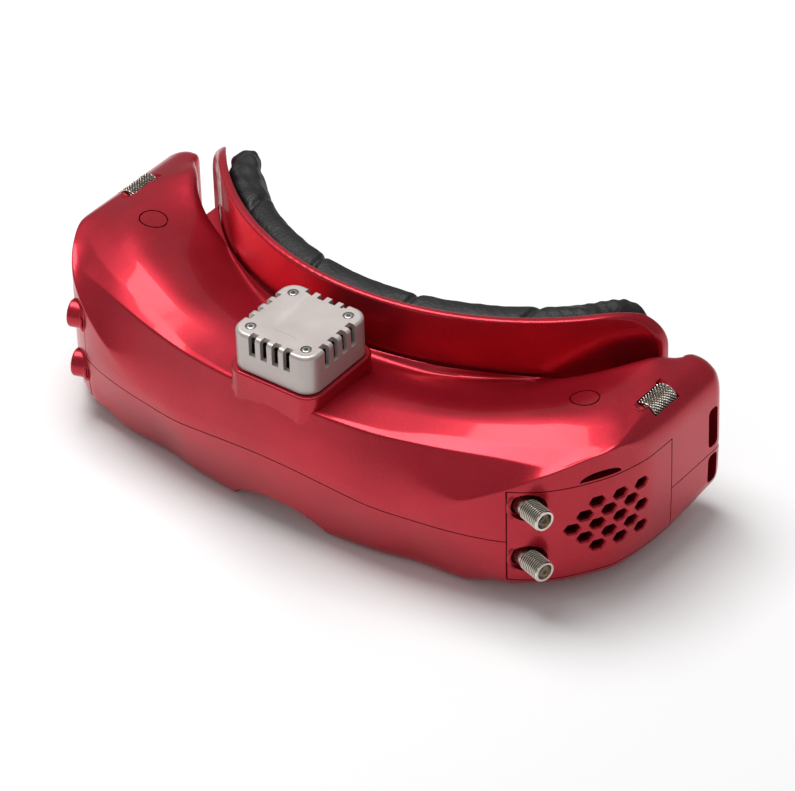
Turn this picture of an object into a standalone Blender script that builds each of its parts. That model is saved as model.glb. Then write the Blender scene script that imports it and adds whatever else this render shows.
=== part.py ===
"""FPV goggles: two painted shells on a curved face frame, with optics, fan, wheels and sockets.

+X is the wearer's left, -Y the front, +Z up. The origin is under the middle of the goggles.
Sizes are in millimetres and become metres when a mesh is made.
"""
import math

import bmesh
import bpy
import numpy as np
from mathutils import Matrix, Vector

MM = 0.001
SIDES = (("left", 1), ("right", -1))   # the wearer's left is +X

# Driving dimensions, mm
WALL = 2.0                # thickness of the painted shells
GAP = 0.3                 # clearance between neighbouring pieces
EAR_END_Y = 38.8          # rear faces of the two ears
EAR_ROUND = 3.0           # rounding of the ears' rear edges
FACE_RADIUS = 91.5        # plan radius of the face frame's front
FACE_FRONT_Y = -4.6       # front of the face frame on the centre line
FRAME_WALL = 2.5
FRAME_TOP_Z = 59.7
FRAME_FLARE_X = 72.0      # the frame's arc runs out into a flatter flange here
FRAME_HALF_WIDTH = 78.0
FOAM_DEPTH = 10.5         # foam thickness off the frame
FOAM_REAR_Y = 42.3        # the foam's temples end here
FRAME_SCREW_X = 56.0
PANEL_HALF_WIDTH = 52.0   # rear panel that carries the optics
PANEL_LOW_Z = 8.5
PANEL_HIGH_Z = 39.5
EYE_Z = 24.0
EYE_X = 32.5              # half of the middle eye distance, 65 mm
EYE_TRAVEL = 3.25         # each barrel slides this far in and out
BARREL_RADIUS = 12.0
BARREL_FRONT_Y = -29.5
BARREL_REAR_Y = -9.0
RING_RADIUS = 13.0
RING_DEPTH = 5.0
SEAM_MIDDLE_Z = 24.7      # parting line between the shells, front centre
SEAM_SIDE_Z = 21.5        # and at the sides
SEAM_BEND_X = 46.0
NOTCH_HALF_WIDTH = 17.4
NOTCH_FRONT_Z = 9.0
NOTCH_REAR_Z = 16.0
COVER_START = 0.0         # side cover, measured along the side from x = 72.6
COVER_LENGTH = 52.8
COVER_BOTTOM_Z = 8.2
COVER_TOP_Z = 38.3
VENT_START = 17.8
VENT_PITCH = 3.65
VENT_ROWS = {0: (0,), 1: (-1, 1), 2: (-2, 0, 2), 3: (-1, 1), 4: (-2, 0, 2), 5: (-1, 1), 6: (-2, 0, 2)}
PORT_HEIGHTS = {"upper": 33.2, "lower": 16.0}
PORT_X = 77.0
PORT_Y = -27.8
PORT_AXIS = (0.951, -0.309, 0.0)
PORT_BOSS_RADIUS = 5.0
PORT_RECESS_RADIUS = 4.4
PORT_BOSS_TOP = -1.8      # along the axis, from the middle of the panel
PORT_RECESS_FLOOR = -2.8
PORT_FLANGE_RADIUS = 3.9
THREAD_RADIUS = 3.175     # 1/4 inch coax thread
FAN_Y = -24.6
FAN_SIZE = 27.4           # the silver box, square in plan
FAN_BASE_Z = 48.5
FAN_HEIGHT = 12.0
BUTTON = (74.1, 3.2, 50.2)
BUTTON_RADIUS = 3.9
BUTTON_TRAVEL = 0.8
WHEEL = (88.8, 15.1, 45.7)
WHEEL_RADIUS = 3.9
WHEEL_LENGTH = 10.4
BOARD_TOP = 41.4          # control boards under the buttons and wheels
RAIL_Y = -20.0            # rail that both eyepieces slide on
RAIL_Z = 38.4
RECEIVER_X = 60.0
RECEIVER_Y = -12.0
SOCKETS = {"power_socket": (-60.0, -4.0, 4.0), "video_socket": (-60.0, -16.0, 3.0)}
SHELL_SCREWS = ((-53.0, -24.0), (53.0, -24.0), (-53.0, 2.0), (53.0, 2.0))
STRAP_SLOT_Y = (31.0, 35.4)
STRAP_SLOTS_Z = ((11.2, 20.6), (23.4, 36.2))

# Feature lines of the body, one side: station, x, y, z. Station 0 is the centre line,
# 8 the sharp corner where the side meets the top, 11 the start of the ear's round end.
REAR_EDGE = ((0, 0, -8, 42), (2, 24, -4.5, 41), (3, 36, 1, 40.6), (4, 48, 7.6, 41), (5, 58, 12.6, 43.1),
             (6, 66, 17, 45.9), (7, 71.5, 21.2, 48), (8, 75.5, 25, 49.3), (9, 78.7, 29, 49.8),
             (11, 84, 34.4, 48.4))
LEDGE = ((0, 0, -5.7, 43.6), (2, 25, -2.2, 43.6), (3, 38, 2.6, 43.4), (4, 50, 9.4, 42.5),
         (5, 60, 15.8, 41.5), (6, 68, 20.6, 41), (7, 72.3, 22.4, 42), (9, 79.2, 29.7, 44),
         (11, 84, 34.4, 43))
BOTTOM_REAR = ((0, 0, -6, 0), (2, 25, -2.6, 0), (4, 50, 9, 0.3), (5, 60, 15.4, 4.4), (6, 68, 20.2, 5.2),
               (8, 76.3, 25.8, 5.2), (10, 81.8, 32, 6.5), (11, 84, 34.4, 7.5))
BOTTOM_FRONT = ((0, 0, -37.5, 0), (2, 30, -35, 0), (3, 45, -32, 0), (4, 57, -31.5, 0.3),
                (5, 69, -31.2, 4.4), (6, 80, -25.5, 5.2), (7, 88, -16, 5.2), (8, 92.6, -7, 5.2),
                (10, 95.6, 19, 6.5), (11, 95.6, 34.4, 7.5))
SEAM = ((0, 0, -42.2, 24.7), (2, 30, -41.3, 22.6), (3, 45, -38.8, 21.5), (4, 58, -36.4, 21.5),
        (5, 70, -32.6, 21.5), (6, 80, -26.2, 21.5), (7, 88, -16.4, 21.5), (8, 92.8, -7, 21.5),
        (9, 95.6, 5, 21.5), (11, 96, 34.4, 21.5))
SHOULDER = ((0, 0, -40.9, 36), (3, 45, -38.5, 30.5), (4, 58, -36.2, 32), (5, 70, -32.2, 37.7),
            (6, 80, -25.8, 43), (7, 88, -16, 46.3), (8, 92.5, -7, 47), (9, 95.3, 5, 42.6),
            (10, 95.7, 19, 42), (11, 95.7, 34.4, 41.5))
RIDGE_FRONT = ((0, 0, -38.8, 44.4), (1, 15, -38, 43.7), (2, 30, -36, 43.2), (3, 45, -33.3, 43.9),
               (5, 68, -26.9, 44.7), (6, 79.5, -22.6, 44.6), (7, 87.7, -15.2, 46.4),
               (8, 92.2, -6.9, 47.2), (9, 94, 5, 46), (11, 94.3, 34.4, 45.4))
RIDGE_REAR = ((0, 0, -37.8, 44.7), (1, 15, -37, 44), (2, 31, -34, 43.6), (3, 46, -29, 44.8),
              (5, 69, -21.8, 46.7), (6, 79, -16.8, 47), (7, 87, -11.2, 47.2), (8, 91.7, -6.5, 47.5),
              (9, 91.2, 5.5, 48.1), (11, 91.3, 34.4, 47.3))
CROWN = ((0, 0, -21, 43.4), (3, 42, -17, 46.2), (5, 66, -9, 49.4), (6, 75.5, -3, 50.2),
         (7, 82, 3.5, 50), (8, 85.5, 9, 49.4), (9, 88, 15, 49.1), (11, 88.6, 34.4, 48.2))
LAST_STATION = 11
BODY_STATIONS = (0, 1, 2, 3, 4, 5, 6, 7, 7.5, 8, 9, 10, 11)
HOLLOW_STATIONS = (0, 1, 2, 3, 4, 5, 6, 7, 8, 9, 9.5)   # the ear tips are solid

COLOURS = {
    "red_paint": ((0.36, 0.012, 0.022), 0.25, 0.6),
    "silver_paint": ((0.50, 0.44, 0.42), 0.4, 0.8),
    "nickel": ((0.75, 0.66, 0.56), 0.25, 1.0),
    "steel": ((0.6, 0.6, 0.6), 0.35, 1.0),
    "black_plastic": ((0.02, 0.02, 0.02), 0.5, 0.0),
    "foam_leather": ((0.03, 0.028, 0.03), 0.6, 0.0),
    "optical_glass": ((0.55, 0.6, 0.65), 0.05, 0.0),
    "screen": ((0.01, 0.01, 0.015), 0.1, 0.0),
    "circuit_board": ((0.02, 0.12, 0.05), 0.5, 0.0),
    "white_insulator": ((0.85, 0.85, 0.82), 0.5, 0.0),
    "gold": ((0.8, 0.55, 0.2), 0.3, 1.0),
    "cable_black": ((0.015, 0.015, 0.015), 0.45, 0.0),
}


# ---------------------------------------------------------------- scene helpers

def clear_scene():
    for item in list(bpy.data.objects):
        bpy.data.objects.remove(item, do_unlink=True)


def new_collection(name):
    collection = bpy.data.collections.new(name)
    bpy.context.scene.collection.children.link(collection)
    return collection


def material(name):
    found = bpy.data.materials.get(name)
    if found:
        return found
    colour, roughness, metallic = COLOURS[name]
    found = bpy.data.materials.new(name)
    found.use_nodes = True
    shader = found.node_tree.nodes["Principled BSDF"]
    shader.inputs["Base Color"].default_value = (*colour, 1.0)
    shader.inputs["Roughness"].default_value = roughness
    shader.inputs["Metallic"].default_value = metallic
    return found


def link(name, mesh, slot=None):
    """Put a mesh in the goggles' collection, or among the cutters where it has no material."""
    item = bpy.data.objects.new(name, mesh)
    if slot:
        mesh.materials.append(material(slot))
        parts.objects.link(item)
    else:
        item.hide_render = True
        item.display_type = "WIRE"
        cutters.objects.link(item)
    return item


def mesh_from(name, bm, slot=None):
    """Finish a bmesh whose points are in millimetres."""
    bmesh.ops.scale(bm, vec=(MM, MM, MM), verts=bm.verts)
    bmesh.ops.recalc_face_normals(bm, faces=bm.faces)
    mesh = bpy.data.meshes.new(name)
    bm.to_mesh(mesh)
    bm.free()
    return link(name, mesh, slot)


def smooth(item, degrees=30):
    item.data.shade_smooth()
    item.data.set_sharp_from_angle(angle=math.radians(degrees))
    return item


def boolean(target, tool, operation="DIFFERENCE"):
    modifier = target.modifiers.new(tool.name[:20], "BOOLEAN")
    modifier.operation = operation
    modifier.solver = "EXACT"
    modifier.object = tool
    return target


def block(name, low, high, slot=None):
    bm = bmesh.new()
    bmesh.ops.create_cube(bm, size=1.0)
    size = [b - a for a, b in zip(low, high)]
    middle = [(a + b) / 2 for a, b in zip(low, high)]
    bmesh.ops.scale(bm, vec=size, verts=bm.verts)
    bmesh.ops.translate(bm, vec=middle, verts=bm.verts)
    return mesh_from(name, bm, slot)


def cylinder(name, start, end, radius, slot=None, segments=24, end_radius=None):
    """A round bar or cone between two points."""
    start = Vector(start)
    along = Vector(end) - start
    bm = bmesh.new()
    bmesh.ops.create_cone(bm, cap_ends=True, segments=segments, radius1=radius,
                          radius2=radius if end_radius is None else end_radius, depth=along.length)
    turn = Vector((0, 0, 1)).rotation_difference(along).to_matrix().to_4x4()
    bmesh.ops.transform(bm, matrix=Matrix.Translation(start + along / 2) @ turn, verts=bm.verts)
    return smooth(mesh_from(name, bm, slot))


def turned(name, profile, start, along, slot=None, segments=24):
    """A profile of (radius, distance) pairs turned about a line with the Screw modifier.

    The profile is run down its outer side, so that the faces point out.
    """
    mesh = bpy.data.meshes.new(name)
    area = sum(r0 * d1 - r1 * d0 for (r0, d0), (r1, d1) in zip(profile, [*profile[1:], profile[0]]))
    if area > 0:
        profile = profile[::-1]
    points = [(r * MM, 0, d * MM) for r, d in profile]
    edges = [(i, (i + 1) % len(points)) for i in range(len(points))]
    if profile[0][0] == 0 and profile[-1][0] == 0:
        edges.pop()
    mesh.from_pydata(points, edges, [])
    item = link(name, mesh, slot)
    screw = item.modifiers.new("turn", "SCREW")
    screw.steps = segments
    screw.render_steps = segments
    screw.use_merge_vertices = True
    screw.merge_threshold = 0.00001
    screw.use_smooth_shade = True
    item.rotation_mode = "QUATERNION"
    item.rotation_quaternion = Vector((0, 0, 1)).rotation_difference(Vector(along))
    item.location = Vector(start) * MM
    return item


def outline_solid(name, outline, low, high, axis="Z", slot=None):
    """A flat outline as a filled curve, given thickness along an axis and made a mesh.

    The outline is (x, y) for axis Z, (x, z) for axis Y.
    """
    curve = bpy.data.curves.new(name, "CURVE")
    curve.dimensions = "2D"
    curve.fill_mode = "BOTH"
    curve.extrude = (high - low) / 2 * MM
    spline = curve.splines.new("POLY")
    spline.points.add(len(outline) - 1)
    for point, (u, v) in zip(spline.points, outline):
        point.co = (u * MM, v * MM, 0, 1)
    spline.use_cyclic_u = True
    item = bpy.data.objects.new(name, curve)
    cutters.objects.link(item)
    if axis == "Y":
        item.matrix_world = Matrix.Translation((0, (low + high) / 2 * MM,
                                                0)) @ Matrix.Rotation(math.pi / 2, 4, "X")
    else:
        item.matrix_world = Matrix.Translation((0, 0, (low + high) / 2 * MM))
    bpy.context.view_layer.update()
    graph = bpy.context.evaluated_depsgraph_get()
    mesh = bpy.data.meshes.new_from_object(item.evaluated_get(graph))
    mesh.name = name
    bm = bmesh.new()
    bm.from_mesh(mesh)
    bmesh.ops.remove_doubles(bm, verts=bm.verts, dist=0.00001)
    bmesh.ops.transform(bm, matrix=item.matrix_world, verts=bm.verts)
    bmesh.ops.recalc_face_normals(bm, faces=bm.faces)
    bm.to_mesh(mesh)
    bm.free()
    mesh.materials.clear()
    bpy.data.objects.remove(item, do_unlink=True)
    return link(name, mesh, slot)


def tube(name, points, radius, slot):
    """A lead along a smooth curve through its points."""
    curve = bpy.data.curves.new(name, "CURVE")
    curve.dimensions = "3D"
    curve.bevel_depth = radius * MM
    curve.bevel_resolution = 1
    curve.use_fill_caps = True
    route = catmull(points, 4)
    spline = curve.splines.new("POLY")
    spline.points.add(len(route) - 1)
    for point, place in zip(spline.points, route):
        point.co = (*[c * MM for c in place], 1)
    curve.materials.append(material(slot))
    item = bpy.data.objects.new(name, curve)
    parts.objects.link(item)
    return item


def catmull(points, steps):
    """Points of a Catmull-Rom curve, each stretch split into steps."""
    p = [np.array(q, float) for q in points]
    p = [2 * p[0] - p[1]] + p + [2 * p[-1] - p[-2]]
    route = []
    for a, b, c, d in zip(p, p[1:], p[2:], p[3:]):
        for i in range(steps):
            t = i / steps
            route.append(0.5 * (2 * b + (c - a) * t + (2 * a - 5 * b + 4 * c - d) * t ** 2
                                + (3 * b - a - 3 * c + d) * t ** 3))
    route.append(p[-2])
    return route


# ---------------------------------------------------------------- body surface

def along(line, station):
    """A feature line's point at a station: a cubic through its points that never overshoots."""
    table = np.array(line, float)
    t = table[:, 0]
    i = int(np.clip(np.searchsorted(t, station, side="right") - 1, 0, len(t) - 2))
    step = np.diff(t)
    point = []
    for column in (1, 2, 3):
        v = table[:, column]
        slope = np.diff(v) / step
        tangent = np.zeros(len(t))
        tangent[0] = 0.0 if column > 1 else slope[0]
        tangent[-1] = slope[-1]
        for k in range(1, len(t) - 1):
            if slope[k - 1] * slope[k] > 0:
                a = 2 * step[k] + step[k - 1]
                b = step[k] + 2 * step[k - 1]
                tangent[k] = (a + b) / (a / slope[k - 1] + b / slope[k])
        s = (station - t[i]) / step[i]
        point.append((2 * s ** 3 - 3 * s ** 2 + 1) * v[i] + (s ** 3 - 2 * s ** 2 + s) * step[i] * tangent[i]
                     + (3 * s ** 2 - 2 * s ** 3) * v[i + 1] + (s ** 3 - s ** 2) * step[i] * tangent[i + 1])
    return np.array(point)


def corners(station):
    """The section's nine corners, and how far each corner's rounding reaches along its sides."""
    ear = np.clip((station - 8.2) / 0.8, 0, 1)
    front = np.clip((4.2 - station) / 1.2, 0, 1)
    lines = (REAR_EDGE, LEDGE, BOTTOM_REAR, BOTTOM_FRONT, SEAM, SHOULDER, RIDGE_FRONT, RIDGE_REAR, CROWN)
    rounding = (3.0, 0.8, 1.5, 5.0, 9.0, 0.5 + 6 * front + 3 * ear, 0.6 + 2 * ear, 0.6 + 2 * ear, 9.0)
    return [along(line, station) for line in lines], rounding


def rounded(points, rounding, steps):
    """Replace each corner of a closed loop by a quadratic arc."""
    loop = []
    count = len(points)
    for i, point in enumerate(points):
        before = points[i - 1] - point
        after = points[(i + 1) % count] - point
        reach_before = min(rounding[i], 0.42 * np.linalg.norm(before))
        reach_after = min(rounding[i], 0.42 * np.linalg.norm(after))
        start = point + before / np.linalg.norm(before) * reach_before
        end = point + after / np.linalg.norm(after) * reach_after
        for k in range(steps[i] + 1):
            t = k / steps[i]
            loop.append((1 - t) ** 2 * start + 2 * t * (1 - t) * point + t ** 2 * end)
    return loop


def inset(points, distance):
    """Move a closed section's corners inward, treating corners closer than 3 mm as one."""
    across = points[3] - points[0]
    across[2] = 0
    across /= np.linalg.norm(across)
    flat = [np.array((q @ across, q[2])) for q in points]
    count = len(flat)
    moved = []
    for i, corner in enumerate(flat):
        others = [flat[(i + k) % count] for k in range(1, count)]
        far = [q for q in others if np.linalg.norm(q - corner) > 3]
        into = (corner - far[-1]) / np.linalg.norm(corner - far[-1])
        out = (far[0] - corner) / np.linalg.norm(far[0] - corner)
        mitre = np.array((-into[1] - out[1], into[0] + out[0]))
        mitre /= np.linalg.norm(mitre)
        reach = distance / max(mitre @ (-into[1], into[0]), 0.5)
        moved.append(points[i] + across * mitre[0] * reach + np.array((0, 0, mitre[1] * reach)))
    return moved


def loft(name, half_sections):
    """A closed solid through sections of one half, mirrored about x = 0 and capped at both ears."""
    flipped = [[q * (-1, 1, 1) for q in section] for section in reversed(half_sections[1:])]
    sections = flipped + half_sections
    bm = bmesh.new()
    rings = [[bm.verts.new(q) for q in section] for section in sections]
    count = len(rings[0])
    for ring, following in zip(rings, rings[1:]):
        for i in range(count):
            bm.faces.new((ring[i], ring[(i + 1) % count], following[(i + 1) % count], following[i]))
    for ring, section in ((rings[0], sections[0]), (rings[-1], sections[-1])):
        middle = bm.verts.new(sum(section) / count)
        for i in range(count):
            bm.faces.new((ring[i], ring[(i + 1) % count], middle))
    bmesh.ops.triangulate(bm, faces=bm.faces)
    return mesh_from(name, bm)


def body_solid():
    """The goggles' outer form: sections fanned round the crescent, with rounded ear ends."""
    steps = (2, 1, 1, 2, 1, 1, 1, 1, 1)
    sections = []
    for station in BODY_STATIONS:
        points, rounding = corners(station)
        sections.append(rounded(points, rounding, steps))
    last = sections[-1]
    middle = sum(last) / len(last)
    for angle in (45, 90):
        turn = math.radians(angle)
        ring = []
        for q in last:
            shrink = EAR_ROUND * (1 - math.cos(turn))
            across = q - middle
            scale = 1 - shrink / np.array((6.0, 1.0, 17.5))
            flat_y = q[1] + (EAR_END_Y - q[1]) * math.sin(turn)
            ring.append(np.array((middle[0] + across[0] * scale[0], flat_y,
                                  middle[2] + across[2] * scale[2])))
        sections.append(ring)
    return loft("body_solid", sections)


def hollow_solid():
    """The space inside the shells; it stops short of the ears, whose ends are solid."""
    sections = []
    for station in HOLLOW_STATIONS:
        points, _ = corners(station)
        wall_top = np.array((*points[1][:2], points[0][2] - 0.5))
        sections.append(inset([wall_top, *points[2:]], WALL))
    return loft("hollow_solid", sections)


def side_path():
    """Plan points along the side at the seam, with the distance from the side cover's front edge."""
    stations = np.linspace(4.6, LAST_STATION, 321)
    points = np.array([along(SEAM, s)[:2] for s in stations])
    steps = np.hypot(*np.diff(points, axis=0).T)
    distance = np.concatenate(([0.0], np.cumsum(steps)))
    start = np.argmin(abs(points[:, 0] - 72.6))
    return points, distance - distance[start]


def side_point(distance):
    """Plan point and outward direction on the side."""
    points, run = SIDE
    x = np.interp(distance, run, points[:, 0])
    y = np.interp(distance, run, points[:, 1])
    ahead = np.array([np.interp(distance + 0.5, run, points[:, k]) for k in (0, 1)])
    behind = np.array([np.interp(distance - 0.5, run, points[:, k]) for k in (0, 1)])
    run_on = (ahead - behind) / np.linalg.norm(ahead - behind)
    return np.array((x, y)), np.array((run_on[1], -run_on[0]))


def side_band(name, first, last, outer, inner, low, high, side):
    """A band along the side, from inside the wall to outside it."""
    places = [side_point(d) for d in np.linspace(first, last, 9)]
    outline = [p + n * outer for p, n in places] + [p - n * inner for p, n in reversed(places)]
    return outline_solid(name, [(x * side, y) for x, y in outline], low, high)


def arc_y(x, offset=0.0):
    """Y of the face frame's front surface moved towards the face by an offset."""
    radius = FACE_RADIUS - offset
    return FACE_FRONT_Y + FACE_RADIUS - math.sqrt(radius ** 2 - x ** 2)


def frame_y(x, offset=0.0):
    """As arc_y, running out into the flatter flange past the flare."""
    x = abs(x)
    if x <= FRAME_FLARE_X:
        return arc_y(x, offset)
    return arc_y(FRAME_FLARE_X, offset) + (x - FRAME_FLARE_X) * 0.69


def arc_band(half_width, front, rear, shape=arc_y, rear_shape=None):
    """Plan outline of a band between two offsets of the face arc."""
    xs = np.linspace(-half_width, half_width, 17)
    rear_shape = rear_shape or (lambda x: shape(x, rear))
    return [(x, shape(x, front)) for x in xs] + [(x, rear_shape(x)) for x in reversed(xs)]


def rounded_outline(half_width, low, high, top_round, bottom_round, arch_half, arch_top):
    """A plate outline in x and z with round corners and a nose arch in its lower edge."""
    points = []
    for k in range(5):
        a = math.radians(k * 22.5)
        points.append((half_width - bottom_round + bottom_round * math.sin(a),
                       low + bottom_round - bottom_round * math.cos(a)))
    for k in range(5):
        a = math.radians(k * 22.5)
        points.append((half_width - top_round + top_round * math.cos(a),
                       high - top_round + top_round * math.sin(a)))
    left = [(-x, z) for x, z in reversed(points)]
    arch = []
    for k in range(9):
        a = math.pi * (1 - k / 8)
        arch.append((arch_half * math.cos(a), low + (arch_top - low) * math.sin(a) ** 0.8))
    return points + left + arch


def pair(name):
    """A piece's name and sign of x on both sides."""
    return [(side_name + "_" + name, side) for side_name, side in SIDES]


# ---------------------------------------------------------------- shells and covers

def notch_solid(name, grow=0.0):
    """The nose notch: an arch that rises from the front face to the rear."""
    bm = bmesh.new()
    rings = []
    for y, top in ((-52.0, NOTCH_FRONT_Z - 2), (-36.0, NOTCH_FRONT_Z), (14.0, NOTCH_REAR_Z)):
        ring = []
        for k in range(15):
            a = math.pi * k / 14
            ring.append(bm.verts.new(((NOTCH_HALF_WIDTH + grow) * math.cos(a), y,
                                      (top + grow + 1) * math.sin(a) - 1)))
        ring.append(bm.verts.new((-NOTCH_HALF_WIDTH - grow, y, -6)))
        ring.append(bm.verts.new((NOTCH_HALF_WIDTH + grow, y, -6)))
        rings.append(ring)
    count = len(rings[0])
    for ring, following in zip(rings, rings[1:]):
        for i in range(count):
            bm.faces.new((ring[i], ring[(i + 1) % count], following[(i + 1) % count], following[i]))
    bm.faces.new(rings[0])
    bm.faces.new(rings[-1])
    return mesh_from(name, bm)


def parting_outline(offset):
    """The shells' parting line in x and z."""
    line = []
    for x in np.linspace(-SEAM_BEND_X, SEAM_BEND_X, 13):
        bend = (1 + math.cos(math.pi * x / SEAM_BEND_X)) / 2
        line.append((x, SEAM_SIDE_Z + (SEAM_MIDDLE_Z - SEAM_SIDE_Z) * bend + offset))
    return [(-110, SEAM_SIDE_Z + offset)] + line + [(110, SEAM_SIDE_Z + offset)]


def make_shells():
    outer = body_solid()
    hollow = hollow_solid()
    boolean(hollow, notch_solid("notch_wall", WALL))
    above = outline_solid("above_parting", parting_outline(GAP / 2) + [(110, 90), (-110, 90)], -70, 70, "Y")
    below = outline_solid("below_parting", parting_outline(-GAP / 2)[::-1] + [(-110, -20), (110, -20)],
                          -70, 70, "Y")
    panel_opening = outline_solid("panel_opening", arc_band(PANEL_HALF_WIDTH, -7, 1.5), PANEL_LOW_Z,
                                  PANEL_HIGH_Z)
    boolean(panel_opening, notch_solid("panel_opening_notch", WALL + 0.5))

    upper = link("upper_shell", outer.data.copy(), "red_paint")
    lower = link("lower_shell", outer.data.copy(), "red_paint")
    boolean(upper, above, "INTERSECT")
    boolean(upper, fan_pedestal(), "UNION")
    boolean(lower, below, "INTERSECT")
    boolean(lower, notch_solid("notch"))
    for shell in (upper, lower):
        boolean(shell, hollow)
        boolean(shell, panel_opening)

    for side_name, side in SIDES:
        for shell, z in ((upper, PORT_HEIGHTS["upper"]), (lower, PORT_HEIGHTS["lower"])):
            clear_port(shell, side, z)
        cover = link(side_name + "_side_cover", outer.data.copy(), "red_paint")
        window = side_band(side_name + "_window", COVER_START - GAP / 2, COVER_LENGTH + GAP / 2, 4, 5,
                           COVER_BOTTOM_Z - GAP / 2, COVER_TOP_Z + GAP / 2, side)
        fill = side_band(side_name + "_fill", COVER_START + GAP / 2, COVER_LENGTH - GAP / 2, 4, 5,
                         COVER_BOTTOM_Z + GAP / 2, COVER_TOP_Z - GAP / 2, side)
        boolean(upper, window)
        boolean(lower, window)
        boolean(cover, fill, "INTERSECT")
        boolean(cover, hollow)
        add_ports(cover, side)
        add_vents(cover, side)
        cut_crescent(upper, side)
        cut_strap_slots(upper, lower, side)
        cut_controls(upper, side)
    cut_fan_well(upper)
    cut_underside(lower)
    cut_frame_screws(upper, lower)
    return upper, lower


def fan_pedestal():
    outline = rounded_square(FAN_SIZE / 2 + 1.3, 5.0, 4)
    return outline_solid("fan_pedestal", [(x, y + FAN_Y) for x, y in outline], 36, FAN_BASE_Z - GAP)


def rounded_square(half, radius, steps):
    points = []
    for quarter in range(4):
        for k in range(steps + 1):
            a = math.radians(90 * (quarter + k / steps))
            cx = (half - radius) * (1 if quarter in (0, 3) else -1)
            cy = (half - radius) * (1 if quarter < 2 else -1)
            points.append((cx + radius * math.cos(a), cy + radius * math.sin(a)))
    return points


def cut_fan_well(upper):
    """The pedestal is hollow and its roof has the fan's round inlet."""
    well = outline_solid("fan_well", [(x, y + FAN_Y) for x, y in rounded_square(11.0, 3, 2)], 30,
                         FAN_BASE_Z - GAP - 2)
    boolean(upper, well)
    boolean(upper, cylinder("fan_inlet", (0, FAN_Y, 40), (0, FAN_Y, 60), 9.2, segments=32))


def add_ports(cover, side):
    """Two round bosses, flush with the panel at their middle: proud in front, sunk behind."""
    for level, z in PORT_HEIGHTS.items():
        base = Vector((PORT_X * side, PORT_Y, z))
        way = Vector((PORT_AXIS[0] * side, PORT_AXIS[1], 0))
        boolean(cover, cylinder(f"port_boss_{level}_{side}", base - way * 4.5, base + way * PORT_BOSS_TOP,
                                PORT_BOSS_RADIUS, segments=18), "UNION")
        boolean(cover, cylinder(f"port_recess_{level}_{side}", base + way * PORT_RECESS_FLOOR,
                                base + way * 12,
                                PORT_RECESS_RADIUS, segments=18))
        boolean(cover, cylinder(f"port_bore_{level}_{side}", base - way * 9, base + way * 9,
                                THREAD_RADIUS + GAP, segments=16))
        boolean(cover, cylinder(f"port_flange_room_{level}_{side}", base - way * 9, base - way * 4.6,
                                PORT_FLANGE_RADIUS + GAP, segments=12))


def clear_port(shell, side, z):
    """Room in a shell for a port's boss."""
    base = Vector((PORT_X * side, PORT_Y, z))
    way = Vector((PORT_AXIS[0] * side, PORT_AXIS[1], 0))
    boolean(shell, cylinder(f"boss_room_{z}_{side}", base - way * (6.4 + GAP), base + way * 3,
                            PORT_BOSS_RADIUS + GAP, segments=16))


def add_vents(cover, side):
    """Hexagon vents in a staggered lattice."""
    for column, rows in VENT_ROWS.items():
        place, normal = side_point(VENT_START + column * VENT_PITCH)
        for row in rows:
            z = EYE_Z + 0.1 + row * VENT_PITCH
            bm = bmesh.new()
            bmesh.ops.create_cone(bm, cap_ends=True, segments=6, radius1=1, radius2=1, depth=10)
            bmesh.ops.scale(bm, vec=(2.0, 1.65, 1), verts=bm.verts)
            upright = facing(side * normal[0], normal[1])
            bmesh.ops.transform(bm, matrix=Matrix.Translation((place[0] * side, place[1], z)) @ upright,
                                verts=bm.verts)
            boolean(cover, mesh_from(f"vent_{column}_{row}_{side}", bm))


def facing(nx, ny):
    """A frame whose z runs out of the wall, x along it and y up."""
    out = Vector((nx, ny, 0)).normalized()
    up = Vector((0, 0, 1))
    run = up.cross(out)
    return Matrix((run, up, out)).transposed().to_4x4()


def cut_crescent(upper, side):
    """An arched air slit above the side cover."""
    place, normal = side_point(26.3)
    outline = [(-6.0, 0), (6.0, 0)] + [(6.0 * math.cos(a),
                                        2.9 * math.sin(a)) for a in np.linspace(0.25, 2.9, 8)]
    bm = bmesh.new()
    face = bm.faces.new([bm.verts.new((u, v, -8)) for u, v in outline])
    grown = bmesh.ops.extrude_face_region(bm, geom=[face])
    bmesh.ops.translate(bm, vec=(0, 0, 16),
                        verts=[v for v in grown["geom"] if isinstance(v, bmesh.types.BMVert)])
    turn = facing(normal[0] * side, normal[1])
    place = Matrix.Translation((place[0] * side, place[1], COVER_TOP_Z + 0.4))
    bmesh.ops.transform(bm, matrix=place @ turn, verts=bm.verts)
    boolean(upper, mesh_from(f"crescent_{side}", bm))


def cut_strap_slots(upper, lower, side):
    for shell, (low, high) in zip((lower, upper), STRAP_SLOTS_Z):
        x = sorted((78 * side, 100 * side))
        boolean(shell, block(f"strap_slot_{low}_{side}", (x[0], STRAP_SLOT_Y[0], low),
                             (x[1], STRAP_SLOT_Y[1], high)))


def cut_controls(upper, side):
    """Holes for the button and the scroll wheel."""
    x, y, z = BUTTON
    boolean(upper, cylinder(f"button_hole_{side}", (x * side, y, z - 8), (x * side, y, z + 4),
                            BUTTON_RADIUS + GAP,
                            segments=20))
    boolean(upper, cylinder(f"button_seat_{side}", (x * side, y, z - 9), (x * side, y, z - 2.9 + GAP),
                            BUTTON_RADIUS + 0.9 + GAP, segments=20))
    x, y, z = WHEEL
    half = WHEEL_LENGTH / 2 + 0.5
    reach = sorted(((x - 4.2) * side, (x + 4.2) * side))
    boolean(upper, block(f"wheel_well_{side}", (reach[0], y - half, z - 6), (reach[1], y + half, z + 9)))
    half = WHEEL_LENGTH / 2 + 2.0
    reach = sorted(((x - 2.4) * side, (x + 2.4) * side))
    boolean(upper, block(f"wheel_fork_room_{side}", (reach[0], y - half, z - 9),
                         (reach[1], y + half, z + 1.5)))


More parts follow.
